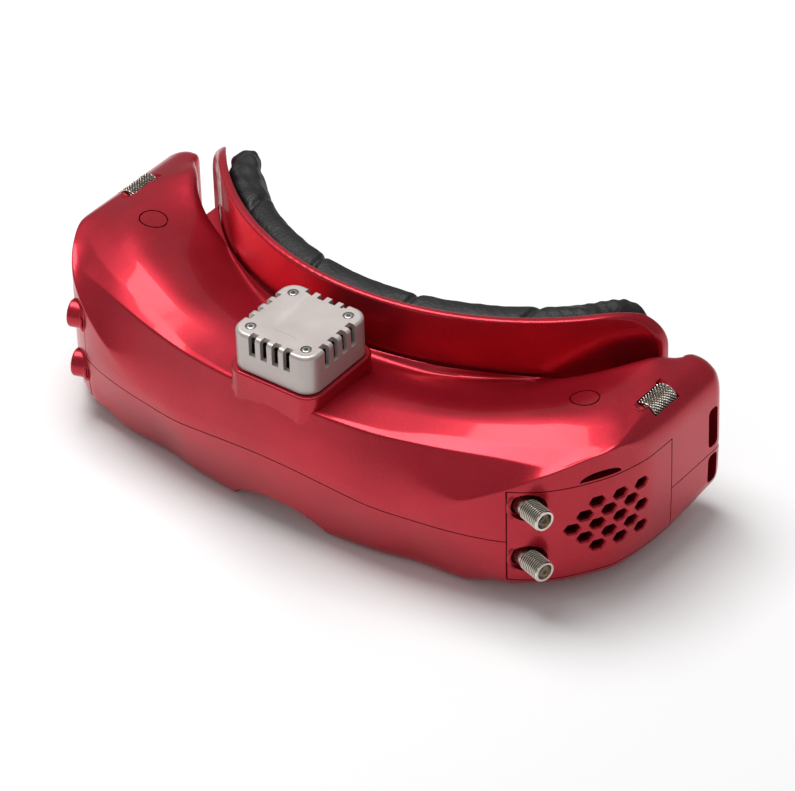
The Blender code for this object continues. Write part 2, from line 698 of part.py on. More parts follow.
def cut_underside(lower):
    """Slots for the eye distance tabs, holes for the sockets and the shell screws."""
    for _, side in SIDES:
        reach = 2 + EYE_TRAVEL + GAP
        boolean(lower, block(f"tab_slot_{side}", (EYE_X * side - reach, -21.8, -3),
                             (EYE_X * side + reach, -18.2, 6)))
    for name, (x, y, radius) in SOCKETS.items():
        boolean(lower, cylinder(name + "_hole", (x, y, -4), (x, y, 9), radius + GAP))
    for k, (x, y) in enumerate(SHELL_SCREWS):
        boolean(lower, cylinder(f"shell_screw_post_{k}", (x, y, 0.5), (x, y, 19.5), 3.2, segments=16),
                "UNION")
        boolean(lower, cylinder(f"shell_screw_hole_{k}", (x, y, -3), (x, y, 24), 1.3, segments=16))
        boolean(lower, cylinder(f"shell_screw_seat_{k}", (x, y, -3), (x, y, 2.4), 2.3, segments=16))


def frame_screw_places():
    """Centre and inward direction of the four frame screws, on the face arc."""
    places = []
    for x in (-FRAME_SCREW_X, FRAME_SCREW_X):
        angle = math.asin(x / FACE_RADIUS)
        for z in (36.0, 12.0):
            places.append((Vector((x, arc_y(x), z)), Vector((-math.sin(angle), math.cos(angle), 0))))
    return places


def cut_frame_screws(upper, lower):
    for k, (place, way) in enumerate(frame_screw_places()):
        shell = upper if place.z > EYE_Z else lower
        boolean(shell, cylinder(f"frame_screw_bore_{k}", place - way * 9, place + way * 4, 1.3, segments=16))


# ---------------------------------------------------------------- fan

def make_fan():
    half = FAN_SIZE / 2
    low = FAN_BASE_Z
    high = FAN_BASE_Z + FAN_HEIGHT
    shape = [(x, y + FAN_Y) for x, y in rounded_square(half, 4.6, 3)]
    cover = outline_solid("fan_cover", shape, low, high, slot="silver_paint")
    bevel = cover.modifiers.new("top_edge", "BEVEL")
    bevel.width = 1.0 * MM
    bevel.segments = 1
    bevel.limit_method = "ANGLE"
    bevel.angle_limit = math.radians(60)
    inside = outline_solid("fan_cover_inside", [(x, y + FAN_Y) for x, y in rounded_square(half - 1.4,
                                                                                          3.4, 2)],
                           low - 3, high - 1.6)
    boolean(cover, inside)
    pitch = 3.9
    for axis in (0, 1):
        for k in range(4):
            middle = (k - 1.5) * pitch
            a = [middle - 1.1, FAN_Y + middle - 1.1][axis]
            b = [middle + 1.1, FAN_Y + middle + 1.1][axis]
            for end in (-1, 1):
                near = end * (half - 2.2) + (FAN_Y if axis == 0 else 0)
                far = end * (half + 3) + (FAN_Y if axis == 0 else 0)
                lo, hi = sorted((near, far))
                if axis == 0:
                    box = ((a, lo, high - 6.2), (b, hi, high + 2))
                else:
                    box = ((lo, a, high - 6.2), (hi, b, high + 2))
                boolean(cover, block(f"fan_slot_{axis}_{k}_{end}", *box))
    tongue = outline_solid("fan_tongue", [(-6, FAN_Y + half - 2.4), (-6, FAN_Y - 4), (-4, FAN_Y - 7),
                                          (4, FAN_Y - 7), (6, FAN_Y - 4),
                                          (6, FAN_Y + half - 2.4)], high - 0.5, high + 3)
    boolean(cover, tongue)
    corner = half - 4.3
    places = [(sx * corner, FAN_Y + sy * corner) for sy in (-1, 1) for sx in (-1, 1)]
    for k, (x, y) in enumerate(places):
        boolean(cover, cylinder(f"fan_screw_seat_{k}", (x, y, high - 0.7), (x, y, high + 2), 1.5,
                                segments=16))
        boolean(cover, cylinder(f"fan_screw_hole_{k}", (x, y, high - 4), (x, y, high + 2), 0.9, segments=16))
        turned(f"fan_cover_screw_{k + 1}", screw_profile(1.2, 0.4, 0.6, 3.0), (x, y, high - 0.1), (0, 0, -1),
               "steel", 8)
    fan_frame = block("fan_frame", (-9.8, FAN_Y - 9.8, low + 0.4), (9.8, FAN_Y + 9.8, low + 6.4),
                      "black_plastic")
    boolean(fan_frame, cylinder("fan_bore", (0, FAN_Y, low - 1), (0, FAN_Y, low + 5.4), 9.1, segments=32))
    for k in range(4):
        a = math.radians(45 + 90 * k)
        boolean(fan_frame, outline_solid(f"fan_window_{k}", [
            (r * math.cos(a + t), FAN_Y + r * math.sin(a + t))
            for r, ts in ((9.1, np.linspace(-0.6, 0.6, 6)), (4.4, np.linspace(0.5, -0.5, 4))) for t in ts],
            low + 4, low + 8))
    rotor = cylinder("fan_rotor", (0, FAN_Y, low + 0.8), (0, FAN_Y, low + 5.0), 4.0, "black_plastic", 20)
    for k in range(7):
        blade = block(f"fan_blade_{k}", (3.2, -0.35, -1.5), (8.7, 0.35, 1.5))
        turn = Matrix.Rotation(2 * math.pi * k / 7, 4, "Z") @ Matrix.Rotation(math.radians(35), 4, "X")
        blade.matrix_world = Matrix.Translation((0, FAN_Y * MM, (low + 2.9) * MM)) @ turn
        boolean(rotor, blade, "UNION")


def screw_profile(head_radius, head_height, shank_radius, shank_length):
    """A pan head, then the shank."""
    return ((0, 0), (head_radius * 0.8, 0), (head_radius, head_height * 0.4), (head_radius, head_height),
            (shank_radius, head_height), (shank_radius, head_height + shank_length),
            (0, head_height + shank_length))


# ---------------------------------------------------------------- controls

def make_controls():
    for name, side in pair("button"):
        x, y, z = BUTTON
        flange = z - 2.9
        profile = ((0, -0.15), (BUTTON_RADIUS - 0.4, -0.15), (BUTTON_RADIUS, 0.25),
                   (BUTTON_RADIUS, z - flange),
                   (BUTTON_RADIUS + 0.9, z - flange), (BUTTON_RADIUS + 0.9, z - flange + 1.0),
                   (0, z - flange + 1.0))
        turned(name, profile, (x * side, y, z), (0, 0, -1), "red_paint", 20)
        top = flange - 1.0 - BUTTON_TRAVEL - 0.1
        switch = block(name + "_switch", (x * side - 3, y - 3, BOARD_TOP + GAP),
                       (x * side + 3, y + 3, top - 1), "black_plastic")
        boolean(switch, cylinder(name + "_switch_stem", (x * side, y, BOARD_TOP + 1), (x * side, y, top), 1.7,
                                 segments=16), "UNION")
    for name, side in pair("scroll_wheel"):
        x, y, z = WHEEL
        half = WHEEL_LENGTH / 2
        profile = ((0, -half - 1.5), (0.8, -half - 1.5), (0.8, -half), (WHEEL_RADIUS - 0.4, -half),
                   (WHEEL_RADIUS, -half + 0.4), (WHEEL_RADIUS, half - 0.4), (WHEEL_RADIUS - 0.4, half),
                   (0.8, half), (0.8, half + 1.5), (0, half + 1.5))
        turned(name, profile, (x * side, y, z), (0, 1, 0), "nickel", 18)
    for name, side in pair("wheel_bracket"):
        x, y, z = WHEEL
        half = WHEEL_LENGTH / 2 + 0.3
        low = x * side - 2
        fork = block(name, (low, y - half - 1.4, BOARD_TOP - 4.1), (low + 4, y + half + 1.4, z + 1.2),
                     "black_plastic")
        boolean(fork, block(name + "_gap", (low - 1, y - half, z - WHEEL_RADIUS - GAP),
                            (low + 5, y + half, z + 3)))
        boolean(fork, cylinder(name + "_bore", (x * side, y - 9, z), (x * side, y + 9, z), 0.88, segments=16))
    for name, side in pair("control_board"):
        outline = ((64.5, -2), (82, -2), (84.5, 3), (84.5, 20), (75.5, 20), (64.5, 10))
        outline_solid(name, [(x * side, y) for x, y in outline], BOARD_TOP - 1.6, BOARD_TOP,
                      slot="circuit_board")


# ---------------------------------------------------------------- antenna ports

def make_ports():
    way = Vector(PORT_AXIS)
    for level, z in PORT_HEIGHTS.items():
        base = Vector((PORT_X, PORT_Y, z))
        r = THREAD_RADIUS
        profile = ((2.1, 7.7), (r, 7.7), (r, -4.9), (PORT_FLANGE_RADIUS, -4.9),
                   (PORT_FLANGE_RADIUS, -6.4), (2.1, -6.4))
        turned(f"{level}_antenna_connector", profile, base, way, "nickel", 18)
        turned(f"{level}_antenna_insulator", ((0.75, 4.6), (0.75, -5.8), (1.85, -5.8), (1.85, 4.6)), base,
               way,
               "white_insulator", 14)
        turned(f"{level}_antenna_contact", ((0, -5.4), (0.5, -5.4), (0.5, 5.4), (0.25, 5.4), (0.25, 2.5),
                                            (0, 2.5)),
               base, way, "gold", 10)
        start = base - way * 6.9
        board = Vector((RECEIVER_X + 5.2, RECEIVER_Y, z))
        middle = (start + board) / 2 - way * 2
        tube(f"{level}_antenna_lead", [start, start - way * 2.2, middle, board - Vector((0, 0.4, 0))], 0.9,
             "cable_black")
        mirrored = Vector((-base.x, base.y, base.z))
        shoulder = PORT_RECESS_FLOOR + GAP
        head = PORT_RECESS_RADIUS - GAP
        turned(f"{level}_port_plug", ((0, -6.0), (r, -6.0), (r, shoulder), (head, shoulder), (head, 1.6),
                                      (head - 0.4, 2.2), (head - 1.2, 2.6), (0, 2.8)), mirrored,
               Vector((-way.x, way.y, 0)), "red_paint", 24)


# ---------------------------------------------------------------- face frame and foam

def make_face():
    outline = rounded_outline(FRAME_HALF_WIDTH, 1.0, FRAME_TOP_Z, 13, 16, 21, 18)
    plate = outline_solid("face_frame", arc_band(84, 0, FRAME_WALL, frame_y), -10, 80, slot="red_paint")
    boolean(plate, outline_solid("frame_outline", outline, -60, 90, "Y"), "INTERSECT")
    window = rounded_outline(51, 5.5, 42.5, 12, 12, 27, 25)
    boolean(plate, outline_solid("frame_window", window, -60, 60, "Y"))
    for k, (place, way) in enumerate(frame_screw_places()):
        boolean(plate, cylinder(f"frame_hole_{k}", place - way * 4, place + way * 8, 1.3, segments=16))
        boolean(plate, cylinder(f"frame_seat_{k}", place + way * 1.2, place + way * 8, 2.4, segments=16))
        turned(f"frame_screw_{k + 1}", screw_profile(2.1, 1.1, 1.0, 6.5), place + way * 2.5, -way,
               "steel", 10)

    def foam_rear(x):
        reach = min(abs(x), 69)
        return min(arc_y(reach, FRAME_WALL + FOAM_DEPTH), FOAM_REAR_Y)

    band = arc_band(74.5, FRAME_WALL + GAP, 0, frame_y, foam_rear)
    foam = outline_solid("face_foam", band, -10, 80, slot="foam_leather")
    boolean(foam, outline_solid("foam_outline", rounded_outline(74, 2.2, FRAME_TOP_Z - 1, 13, 15, 24, 21),
                                -60, 90, "Y"),
            "INTERSECT")
    boolean(foam, outline_solid("foam_window", rounded_outline(58, 13, 45, 12, 12, 33, 31), -60, 90, "Y"))


# ---------------------------------------------------------------- optics and electronics

def make_optics():
    panel = outline_solid("rear_panel", arc_band(PANEL_HALF_WIDTH - GAP, -3.4, -1.4), PANEL_LOW_Z + GAP,
                          PANEL_HIGH_Z - GAP,
                          slot="black_plastic")
    boolean(panel, notch_solid("panel_notch", WALL + 0.5 + GAP))
    for name, side in pair("eyepiece"):
        x = EYE_X * side
        front = BARREL_FRONT_Y + 3
        boolean(panel, stadium(f"barrel_slot_{side}", x, EYE_TRAVEL, RING_RADIUS + 0.6))
        bore = BARREL_RADIUS - 1.6
        barrel = turned(name, ((bore, front), (BARREL_RADIUS, front), (BARREL_RADIUS, BARREL_REAR_Y),
                               (bore, BARREL_REAR_Y)), (x, 0, EYE_Z), (0, 1, 0), "black_plastic", 24)
        lug_top = RAIL_Z + 2.6
        boolean(barrel, block(name + "_lug", (x - 4, RAIL_Y - 2.6, EYE_Z + BARREL_RADIUS - 1.2),
                              (x + 4, RAIL_Y + 2.6, lug_top)), "UNION")
        boolean(barrel, cylinder(name + "_lug_bore", (x - 9, RAIL_Y, RAIL_Z), (x + 9, RAIL_Y, RAIL_Z),
                                 1.3, segments=16))
        turned("left_focus_ring" if side > 0 else "right_focus_ring",
               ((BARREL_RADIUS - 1.4, 0), (RING_RADIUS, 0), (RING_RADIUS, RING_DEPTH),
                (BARREL_RADIUS - 3, RING_DEPTH),
                (BARREL_RADIUS - 3, RING_DEPTH - 1.2), (BARREL_RADIUS - 1.4, RING_DEPTH - 1.2)),
               (x, BARREL_REAR_Y + GAP, EYE_Z), (0, 1, 0), "black_plastic", 24)
        lens_y = BARREL_REAR_Y - 6.0
        edge = bore - GAP
        turned("left_lens" if side > 0 else "right_lens",
               [(edge * k / 3, 2.2 * (k / 3) ** 2) for k in range(4)]
               + [(edge * k / 3, 4.0 + 2.2 * (1 - (k / 3) ** 2)) for k in range(3, -1, -1)],
               (x, lens_y, EYE_Z), (0, 1, 0), "optical_glass", 24)
        display = "left_display" if side > 0 else "right_display"
        block(display, (x - 9, BARREL_FRONT_Y, EYE_Z - 7), (x + 9, BARREL_FRONT_Y + 2.6, EYE_Z + 7), "screen")
        tab = "left_ipd_slider" if side > 0 else "right_ipd_slider"
        block(tab, (x - 2, -21.2, 0.4), (x + 2, -18.8, EYE_Z - BARREL_RADIUS - GAP), "black_plastic")
    cylinder("ipd_rail", (-50, RAIL_Y, RAIL_Z), (50, RAIL_Y, RAIL_Z), 1.1, "steel", 16)


def stadium(name, x, travel, radius):
    """A slot as wide as a barrel's travel, through the rear panel."""
    outline = []
    for k in range(11):
        a = -math.pi / 2 + math.pi * k / 10
        outline.append((x + travel + radius * math.cos(a), EYE_Z + radius * math.sin(a)))
    for k in range(11):
        a = math.pi / 2 + math.pi * k / 10
        outline.append((x - travel + radius * math.cos(a), EYE_Z + radius * math.sin(a)))
    return outline_solid(name, outline, -20, 20, "Y")


def make_electronics():
    main = block("main_board", (-40, -33.0, 13), (40, -31.4, 37.5), "circuit_board")
    for k, (x, z, w, h) in enumerate(((0, 26, 12, 12), (-30, 30, 8, 6), (28, 20, 9, 9))):
        boolean(main, block(f"main_chip_{k}", (x - w / 2, -32.0, z - h / 2),
                            (x + w / 2, -30.5, z + h / 2)), "UNION")
    block("receiver_board", (RECEIVER_X - 2, RECEIVER_Y, 10), (RECEIVER_X + 14, RECEIVER_Y + 1.6, 38),
          "circuit_board")
    for name, (x, y, radius) in SOCKETS.items():
        bore = radius * 0.62
        turned(name, ((0, 9.0), (bore, 9.0), (bore, 0), (radius, 0), (radius, 13), (0, 13)),
               (x, y, 1.2), (0, 0, 1), "black_plastic", 14)
    for k, (x, y) in enumerate(SHELL_SCREWS):
        turned(f"shell_screw_{k + 1}", screw_profile(2.0, 1.2, 1.0, 14), (x, y, 1.1), (0, 0, 1), "steel", 10)


clear_scene()
parts = new_collection("fpv_goggles")
cutters = new_collection("cutters")
SIDE = side_path()
make_shells()
make_fan()
make_controls()
make_ports()
make_face()
make_optics()
make_electronics()
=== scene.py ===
import math

import bmesh
import bpy
import numpy as np
from bpy.props import FloatProperty, FloatVectorProperty, IntProperty, PointerProperty
from mathutils import Matrix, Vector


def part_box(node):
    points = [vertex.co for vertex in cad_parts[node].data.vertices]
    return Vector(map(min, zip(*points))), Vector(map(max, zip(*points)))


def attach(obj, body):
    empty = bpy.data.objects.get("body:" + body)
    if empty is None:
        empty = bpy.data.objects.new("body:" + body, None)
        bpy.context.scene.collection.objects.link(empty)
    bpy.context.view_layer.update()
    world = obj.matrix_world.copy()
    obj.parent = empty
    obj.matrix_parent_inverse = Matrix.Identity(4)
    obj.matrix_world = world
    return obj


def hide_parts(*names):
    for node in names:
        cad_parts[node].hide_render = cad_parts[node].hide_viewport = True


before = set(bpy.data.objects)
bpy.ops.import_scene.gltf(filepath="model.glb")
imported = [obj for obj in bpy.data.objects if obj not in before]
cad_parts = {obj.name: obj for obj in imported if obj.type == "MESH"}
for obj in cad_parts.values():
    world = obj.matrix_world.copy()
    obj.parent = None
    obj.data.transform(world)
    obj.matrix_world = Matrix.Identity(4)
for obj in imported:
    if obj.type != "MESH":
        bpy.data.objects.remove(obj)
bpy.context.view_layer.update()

bl_info = {
    "name": "FPV goggles",
    "version": (1, 0, 0),
    "blender": (4, 5, 0),
    "location": "View3D > Sidebar > Goggles",
    "description": "Painted shells, foam, optics and controls of a pair of video goggles on their packed frame",
    "category": "Object",
}

MM = 0.001
SIDES = (("left", 1), ("right", -1))

# The body's feature lines: station, then x, y and z in mm. +X is the wearer's left and -Y the front.
REAR_EDGE = np.array((
    (0, 0, -8, 42), (2, 24, -4.5, 41), (3, 36, 1, 40.6), (4, 48, 7.6, 41), (5, 58, 12.6, 43.1),
    (6, 66, 17, 45.9), (7, 71.5, 21.2, 48), (8, 75.5, 25, 49.3), (9, 78.7, 29, 49.8), (11, 84, 34.4, 48.4)))
LEDGE = np.array((
    (0, 0, -5.7, 43.6), (2, 25, -2.2, 43.6), (3, 38, 2.6, 43.4), (4, 50, 9.4, 42.5), (5, 60, 15.8, 41.5),
    (6, 68, 20.6, 41), (7, 72.3, 22.4, 42), (9, 79.2, 29.7, 44), (11, 84, 34.4, 43)))
BOTTOM_REAR = np.array((
    (0, 0, -6, 0), (2, 25, -2.6, 0), (4, 50, 9, 0.3), (5, 60, 15.4, 4.4), (6, 68, 20.2, 5.2),
    (8, 76.3, 25.8, 5.2), (10, 81.8, 32, 6.5), (11, 84, 34.4, 7.5)))
BOTTOM_FRONT = np.array((
    (0, 0, -37.5, 0), (2, 30, -35, 0), (3, 45, -32, 0), (4, 57, -31.5, 0.3), (5, 69, -31.2, 4.4),
    (6, 80, -25.5, 5.2), (7, 88, -16, 5.2), (8, 92.6, -7, 5.2), (10, 95.6, 19, 6.5), (11, 95.6, 34.4, 7.5)))
SEAM = np.array((
    (0, 0, -42.2, 24.7), (2, 30, -41.3, 22.6), (3, 45, -38.8, 21.5), (4, 58, -36.4, 21.5), (5, 70, -32.6, 21.5),
    (6, 80, -26.2, 21.5), (7, 88, -16.4, 21.5), (8, 92.8, -7, 21.5), (9, 95.6, 5, 21.5), (11, 96, 34.4, 21.5)))
SHOULDER = np.array((
    (0, 0, -40.9, 36), (3, 45, -38.5, 30.5), (4, 58, -36.2, 32), (5, 70, -32.2, 37.7), (6, 80, -25.8, 43),
    (7, 88, -16, 46.3), (8, 92.5, -7, 47), (9, 95.3, 5, 42.6), (10, 95.7, 19, 42), (11, 95.7, 34.4, 41.5)))
RIDGE_FRONT = np.array((
    (0, 0, -38.8, 44.4), (1, 15, -38, 43.7), (2, 30, -36, 43.2), (3, 45, -33.3, 43.9), (5, 68, -26.9, 44.7),
    (6, 79.5, -22.6, 44.6), (7, 87.7, -15.2, 46.4), (8, 92.2, -6.9, 47.2), (9, 94, 5, 46), (11, 94.3, 34.4, 45.4)))
RIDGE_REAR = np.array((
    (0, 0, -37.8, 44.7), (1, 15, -37, 44), (2, 31, -34, 43.6), (3, 46, -29, 44.8), (5, 69, -21.8, 46.7),
    (6, 79, -16.8, 47), (7, 87, -11.2, 47.2), (8, 91.7, -6.5, 47.5), (9, 91.2, 5.5, 48.1), (11, 91.3, 34.4, 47.3)))
CROWN = np.array((
    (0, 0, -21, 43.4), (3, 42, -17, 46.2), (5, 66, -9, 49.4), (6, 75.5, -3, 50.2), (7, 82, 3.5, 50),
    (8, 85.5, 9, 49.4), (9, 88, 15, 49.1), (11, 88.6, 34.4, 48.2)))
LINES = (REAR_EDGE, LEDGE, BOTTOM_REAR, BOTTOM_FRONT, SEAM, SHOULDER, RIDGE_FRONT, RIDGE_REAR, CROWN)
LAST_STATION = 11.0
EAR_END_Y = 38.8
EAR_MIDDLE_REACH = np.array((6.0, 1e9, 17.5))
EAR_ROUND = 3.0

WALL = 2.2
GAP = 0.3
EYE_Z = 24.0
FACE_RADIUS = 91.5
FACE_FRONT_Y = -4.6
FRAME_WALL = 2.5
FLARE_X = 72.0
FLARE_SLOPE = 0.69
FOAM_DEPTH = 10.5
FOAM_REAR_Y = 42.3
COVER_TOP_Z = 38.3
COVER_BOTTOM_Z = 8.2
COVER_LENGTH = 52.8
COVER_FRONT_X = 72.6
OPENING = {"half": 52, "low": 8.5, "high": 39.5}
PEDESTAL_HALF = 15.0
SLOT_DEPTH = 6.2
TONGUE_SINK = 0.55
PORT_POINT = np.array((77.0, -27.8))
PORT_AXIS = np.array((0.951, -0.309, 0.0))
PORT_HEIGHTS = {"upper": 33.2, "lower": 16.0}
PORT_BORE = 3.475
PORT_BOSS = {"radius": 5.0, "edge": 0.4, "top": -1.8, "foot": -4.5}
STRAP_SLOTS = {"lower": (11.2, 20.6), "upper": (23.4, 36.2)}
VENT_ROWS = ((0,), (-1, 1), (-2, 0, 2), (-1, 1), (-2, 0, 2), (-1, 1), (-2, 0, 2))
VENT_PITCH = 3.65
VENT_START = 17.8


# ---------------------------------------------------------------- settings

class ShellSettings(bpy.types.PropertyGroup):
    groove: FloatProperty(name="Seam groove", description="Depth of the chamfered seam between shells",
                          default=0.16 * MM, min=0, unit="LENGTH")
    vent_flare: FloatProperty(name="Vent flare", description="How much wider a vent is at the surface",
                              default=1.22, min=1)
    red: FloatVectorProperty(name="Paint red", description="Colour of the painted pieces", subtype="COLOR",
                             default=(0.50, 0.014, 0.032), min=0, max=1)
    deep_red: FloatVectorProperty(name="Deep red", description="Darker tone of the paint's soft variation",
                                  subtype="COLOR", default=(0.36, 0.006, 0.018), min=0, max=1)


class FanSettings(bpy.types.PropertyGroup):
    edge: FloatProperty(name="Edge rounding", description="Rounding of the cover's top edge",
                        default=1.1 * MM, min=0, unit="LENGTH")
    slot: FloatProperty(name="Slot width", description="Width of each side slot", default=2.2 * MM, min=0,
                        unit="LENGTH")
    pitch: FloatProperty(name="Slot pitch", description="Distance between slots", default=3.9 * MM, min=0,
                         unit="LENGTH")
    silver: FloatVectorProperty(name="Cover silver", description="Colour of the fan cover", subtype="COLOR",
                                default=(0.56, 0.50, 0.475), min=0, max=1)


class ControlSettings(bpy.types.PropertyGroup):
    teeth: IntProperty(name="Knurl count", description="Knurl lines round a scroll wheel", default=22, min=6)
    knurl: FloatProperty(name="Knurl depth", description="Depth of the diamond knurl", default=0.42 * MM, min=0,
                         unit="LENGTH")
    thread: FloatProperty(name="Thread pitch", description="Pitch of the antenna threads", default=0.706 * MM,
                          min=0.0001, unit="LENGTH")
    nickel: FloatVectorProperty(name="Nickel", description="Colour of the plated pieces", subtype="COLOR",
                                default=(0.79, 0.70, 0.61), min=0, max=1)


class FoamSettings(bpy.types.PropertyGroup):
    pressure: FloatProperty(name="Foam pressure", description="Pressure that swells the foam", default=4.0, min=0)
    cap: FloatProperty(name="Swelling", description="Furthest that the leather may move", default=1.1 * MM, min=0,
                       unit="LENGTH")
    wrinkle: FloatProperty(name="Wrinkle depth", description="Depth of the temple wrinkles", default=0.55 * MM,
                           min=0, unit="LENGTH")
    leather: FloatVectorProperty(name="Leather", description="Colour of the foam's leather", subtype="COLOR",
                                 default=(0.012, 0.011, 0.012), min=0, max=1)


class StageSettings(bpy.types.PropertyGroup):
    floor: FloatVectorProperty(name="Floor", description="Colour of the floor", subtype="COLOR",
                               default=(0.95, 0.95, 0.95), min=0, max=1)
    top_light: FloatProperty(name="Top light", description="Power of the large soft light above", default=5.8,
                             min=0, unit="POWER")
    fill_light: FloatProperty(name="Fill light", description="Power of the soft light in front", default=0.8,
                              min=0, unit="POWER")
    sky: FloatProperty(name="Sky", description="Strength of the even light all round", default=0.33, min=0)


SETTINGS = {"shell": ShellSettings, "fan": FanSettings, "controls": ControlSettings, "foam": FoamSettings,
            "stage": StageSettings}


def settings(name):
    return getattr(bpy.context.scene, "goggles_" + name)


# ---------------------------------------------------------------- meshes

def node_box(name):
    """Lowest and highest corner of a CAD node, in mm."""
    low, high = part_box(name)
    return np.array(low) / MM, np.array(high) / MM


def middle_of(name):
    low, high = node_box(name)
    return (low + high) / 2


def grid_mesh(name, grid, close_rows=False):
    """A closed mesh of one grid, or of a stack of grids: columns run round, rows run along.

    A point (row, column) joins the next row and the next column. The end rows are closed by one face each,
    or joined to each other where close_rows is true.
    """
    rows, columns = grid.shape[-3:-1]
    stack = grid.reshape(-1, rows, columns, 3)
    index = np.arange(stack.size // 3).reshape(-1, rows, columns)
    here = index if close_rows else index[:, :-1]
    there = np.roll(index, -1, axis=1) if close_rows else index[:, 1:]
    quads = np.stack((here, np.roll(here, -1, axis=2), np.roll(there, -1, axis=2), there), axis=-1)
    quads = quads.reshape(-1, 4)
    ends = np.zeros((0, columns), int) if close_rows else np.concatenate((index[:, 0, ::-1], index[:, -1]))
    loops = np.concatenate((quads.ravel(), ends.ravel())).astype(np.int32)
    starts = np.concatenate((np.arange(len(quads)) * 4, quads.size + np.arange(len(ends)) * columns))
    mesh = bpy.data.meshes.new(name)
    mesh.vertices.add(stack.size // 3)
    mesh.vertices.foreach_set("co", (stack * MM).astype(np.float32).ravel())
    mesh.loops.add(len(loops))
    mesh.loops.foreach_set("vertex_index", loops)
    mesh.polygons.add(len(starts))
    mesh.polygons.foreach_set("loop_start", starts.astype(np.int32))
    mesh.update(calc_edges=True)
    mesh.validate()
    face_outwards(mesh)
    piece = bpy.data.objects.new(name, mesh)
    bpy.context.scene.collection.objects.link(piece)
    return piece


def face_outwards(mesh):
    bm = bmesh.new()
    bm.from_mesh(mesh)
    bmesh.ops.recalc_face_normals(bm, faces=bm.faces)
    bm.to_mesh(mesh)
    bm.free()


def carve(piece, tools, operation="DIFFERENCE"):
    """Cuts the tools from a piece, or joins or intersects them, and removes them."""
    for tool in tools:
        step = piece.modifiers.new("carve", "BOOLEAN")
        step.operation = operation
        step.solver = "MANIFOLD"
        step.object = tool
    depsgraph = bpy.context.evaluated_depsgraph_get()
    carved = bpy.data.meshes.new_from_object(piece.evaluated_get(depsgraph))
    if len(carved.polygons) < 4:
        raise RuntimeError(f"nothing is left of {piece.name}")
    piece.modifiers.clear()
    before = piece.data
    piece.data = carved
    bpy.data.meshes.remove(before)
    for tool in tools:
        bpy.data.meshes.remove(tool.data)


def finish(piece, material, body, nodes=(), sharp=32):
    """Shades a piece smooth between its sharp edges and hangs it on its body."""
    mesh = piece.data
    mesh.shade_smooth()
    mesh.set_sharp_from_angle(angle=math.radians(sharp))
    mesh.materials.clear()
    mesh.materials.append(material)
    even = piece.modifiers.new("even_normals", "WEIGHTED_NORMAL")
    even.keep_sharp = True
    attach(piece, body)
    if nodes:
        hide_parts(*nodes)
    return piece


def axes_of(way):
    """Two directions square to a given one."""
    way = np.array(way, float)
    across = np.cross(way, (0, 0, 1.0) if abs(way[2]) < 0.9 else (0, 1.0, 0))
    across /= np.linalg.norm(across)
    return across, np.cross(way, across), way


def quarter_turn(count):
    """Even angles from 0 to a quarter turn, for a rounded edge."""
    return np.linspace(0, np.pi / 2, count)


def turned(name, profile, centre, way, segments=64, ring=False, radius=None):
    """A profile of (radius, distance along) turned about an axis.

    Point (i, angle) = centre + along_i * way + radius_i * (cos(angle) * u + sin(angle) * v). The radius may be
    worked out per point, by radius(r, along, angle). How far it falls is then kept in the attribute "groove",
    which the nickel material uses to paint shade into the grooves.
    """
    profile = np.array(profile, float)
    across, up, way = axes_of(way)
    angle = np.linspace(0, 2 * np.pi, segments, endpoint=False)
    r = np.repeat(profile[:, :1], segments, axis=1)
    along = np.repeat(profile[:, 1:], segments, axis=1)
    smooth = r
    if radius:
        r = radius(r, along, angle[None, :])
    spoke = np.cos(angle)[None, :, None] * across + np.sin(angle)[None, :, None] * up
    piece = grid_mesh(name, np.array(centre) + along[..., None] * way + r[..., None] * spoke, close_rows=ring)
    if radius:
        depth = np.clip((smooth - r) / np.maximum((smooth - r).max(), 1e-6), 0, 1)
        groove_depth = piece.data.attributes.new("groove", "FLOAT", "POINT")
        groove_depth.data.foreach_set("value", depth.astype(np.float32).ravel())
    return piece


def prism(name, outline, rows, axis="Z"):
    """A closed outline carried along an axis through rows of (level, growth).

    Each row is the outline moved by its growth along the outline's own outward normal.
    """
    outline = np.array(outline, float)
    tangent = np.roll(outline, -1, axis=0) - np.roll(outline, 1, axis=0)
    normal = np.stack((tangent[:, 1], -tangent[:, 0]), axis=1)
    normal /= np.maximum(np.linalg.norm(normal, axis=1, keepdims=True), 1e-9)
    area = np.sum(outline[:, 0] * np.roll(outline[:, 1], -1) - np.roll(outline[:, 0], -1) * outline[:, 1])
    normal *= np.sign(area)
    rows = np.array(rows, float)
    flat = outline[None] + normal[None] * rows[:, 1, None, None]
    level = np.repeat(rows[:, 0, None, None], len(outline), axis=1)
    order = {"Z": (0, 1, 2), "Y": (0, 2, 1), "X": (2, 0, 1)}[axis]
    return grid_mesh(name, np.concatenate((flat, level), axis=2)[..., order])


def block(name, low, high):
    outline = ((low[0], low[1]), (high[0], low[1]), (high[0], high[1]), (low[0], high[1]))
    return prism(name, outline, ((low[2], 0), (high[2], 0)))


def rounded_square(half, radius, steps=8, centre=(0, 0)):
    """Corners of a square, each a quarter circle of the radius."""
    angle = np.radians(90 * (np.arange(4)[:, None] + np.linspace(0, 1, steps + 1)[None, :]))
    turn = np.array(((1, 1), (-1, 1), (-1, -1), (1, -1)))[:, None, :] * (half - radius)
    spoke = np.stack((np.cos(angle), np.sin(angle)), axis=-1) * radius
    return (turn + spoke).reshape(-1, 2) + np.array(centre)


